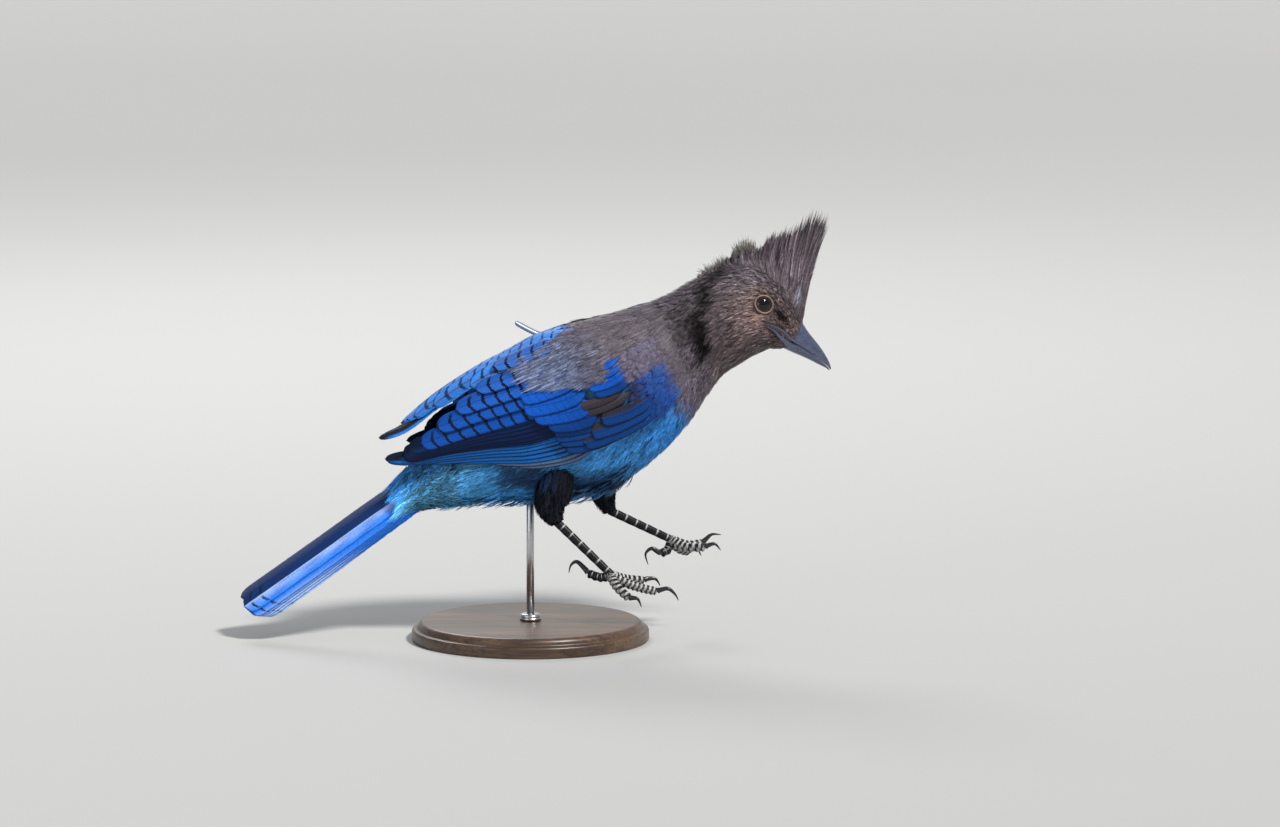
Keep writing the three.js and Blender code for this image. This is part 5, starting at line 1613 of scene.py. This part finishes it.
draw = np.random.default_rng(71)
share = draw.uniform(0.0, 1.0, CREST_COUNT) ** 1.4
aside = draw.uniform(-1, 1, CREST_COUNT)
root = along(CREST_ROOTS, share * 10)
tip = along(CREST_TIPS, share * 10)
reach = 1.0 - 0.06 * np.abs(aside) ** 1.5 - 0.5 * draw.uniform(0, 1, CREST_COUNT) ** 3.5
stops = np.linspace(0, 1, 6)[None, :, None]
root_aside = aside * CREST_SPREAD * (0.55 + 0.45 * np.sin(math.pi * share))
root_3d = np.stack([root[:, 0], root_aside, root[:, 1]], 1)
root_3d[:, 2] -= 1.5 + 2.2 * aside ** 2
tip_3d = np.stack([tip[:, 0], aside * CREST_CLOSE, tip[:, 1]], 1) + draw.normal(0, 0.5, (CREST_COUNT, 3))
tip_3d = root_3d + (tip_3d - root_3d) * reach[:, None]
bow = 0.4 + aside ** 2 + 1.5 * np.exp(-(share / 0.14) ** 2)
lean_back = np.sin(math.pi * stops) * np.array([-1.4, 0, 0.2]) * bow[:, None, None]
crest_path = root_3d[:, None] * (1 - stops) + tip_3d[:, None] * stops + lean_back
crest_side = np.sign(aside)[:, None, None] * np.array([0, 1.0, 0]) + np.array([-0.25, 0, 0.1])
crest_facing = unit(np.broadcast_to(crest_side, crest_path.shape))
crest_width = np.interp(share, [0, 0.5, 1], [1.35, 1.35, 1.2])
crest_colour = CROWN * 1.5 * np.exp(draw.normal(0, 0.3, (CREST_COUNT, 1)))
tufts("crest_feathers", crest_path, crest_facing, crest_width, crest_colour, spot(share, (aside + 1) / 2), 9, 72,
      ["dark_feathers", "crest"], ruffle=0.2, streak=(0.2, 0.4), fade=(1.0, 0.62))

DOWN_PALE = np.array([0.260, 0.245, 0.215])
FRONT_PALE = np.array([0.330, 0.380, 0.500])


def crown_sweep(side_name, side, seed):
    """Feathers that curve up from one side of the head into the crest."""
    draw = np.random.default_rng(seed)
    count = 540
    station = draw.uniform(11.9, 15.85, count)
    height = draw.uniform(34, 88, count)
    from_eye = body.point(station, turn_of(height, side))
    eye_turn = turn_of(EYE_HEIGHT, side)
    kept = np.linalg.norm(from_eye - body.point(EYE_STATION, eye_turn), axis=1) > EYE_OPENING + 1.6
    station, height = station[kept], height[kept]
    count = len(station)
    turn = turn_of(height, side)
    share = np.interp(station, [11.9, 12.85, 13.5, 14, 15.2, 15.9], [0.96, 0.78, 0.58, 0.46, 0.15, 0.01])
    low = body.point(station, turn, np.full(count, -0.7))
    root = along(CREST_ROOTS, share * 10)
    tip = along(CREST_TIPS, share * 10)
    up = draw.uniform(0.1, 0.62, count)[:, None] * smooth_step(20, 60, height)[:, None] + 0.06
    middle = np.stack([root[:, 0], side * np.interp(height, [34, 88], [5.6, 3.6]), root[:, 1] + 1.2], 1)
    high = root + (tip - root) * up
    end = np.stack([high[:, 0], side * (3.9 - 2.2 * up[:, 0]), high[:, 1]], 1)

    def curve(stops):
        rising = middle[:, None] * 2 * stops * (1 - stops)
        return low[:, None] * (1 - stops) ** 2 + rising + end[:, None] * stops ** 2

    stops = np.linspace(0, 1, 6)[None, :, None]
    length = np.linalg.norm(np.diff(curve(stops), axis=1), axis=2).sum(1)
    stops = stops * np.minimum(1, draw.uniform(8, 15, count) / length)[:, None, None]
    lay = curve(stops)
    facing = body.normal(station, turn)[:, None] * (1 - stops) + np.array([-0.1, side, 0.1]) * stops
    colour = body_colour(np.maximum(station, 12.0), turn) * np.exp(draw.normal(0, 0.3, (count, 1)))
    pale = np.exp(-((station - 15.2) / 0.16) ** 2 - ((height - 50) / 7) ** 2)
    pale = np.maximum(pale, smooth_step(15.4, 15.7, station) * smooth_step(72, 82, height) * 0.8)
    colour = blend_colours(colour, FRONT_PALE, 0.85 * pale)
    tufts(f"feathers_crown_{side_name}", lay, unit(facing), np.full(count, 1.05), colour,
          spot((station - 11) / 5.5, np.radians(turn) / 6.3), 9, seed + 1, ["dark_feathers"], ruffle=0.16,
          streak=(0.2, 0.34))


crown_sweep("left", 1, 73)
crown_sweep("right", -1, 75)

# Pale downy ends that stand off the back of the crest and the nape
draw = np.random.default_rng(77)
share = np.concatenate([draw.uniform(0.62, 0.80, 170), draw.uniform(0.86, 0.98, 90)])
count = len(share)
root = along(CREST_ROOTS, share * 10)
tip = along(CREST_TIPS, share * 10)
aside = draw.uniform(-1, 1, count)
foot = np.stack([root[:, 0] * 0.4 + tip[:, 0] * 0.6, aside * 2.4, root[:, 1] * 0.4 + tip[:, 1] * 0.6], 1)
end = np.stack([tip[:, 0] - 0.5, aside * 2.6, tip[:, 1] + draw.uniform(0.5, 2.2, count)], 1)
end = end + draw.normal(0, 1.1, (count, 3))
stops = np.linspace(0, 1, 5)[None, :, None]
lay = foot[:, None] * (1 - stops) + end[:, None] * stops + np.sin(math.pi * stops) * [-0.6, 0, 0.3]
facing = unit(np.broadcast_to(np.array([0.1, -1.0, 0.2]), lay.shape))
colour = DOWN_PALE * draw.uniform(0.5, 1.1, (count, 1))
tufts("feathers_nape_down", lay, facing, np.full(count, 0.16), colour, spot(share, (aside + 1) / 2), 3, 78,
      ["dark_feathers"], spread=4, ruffle=2)
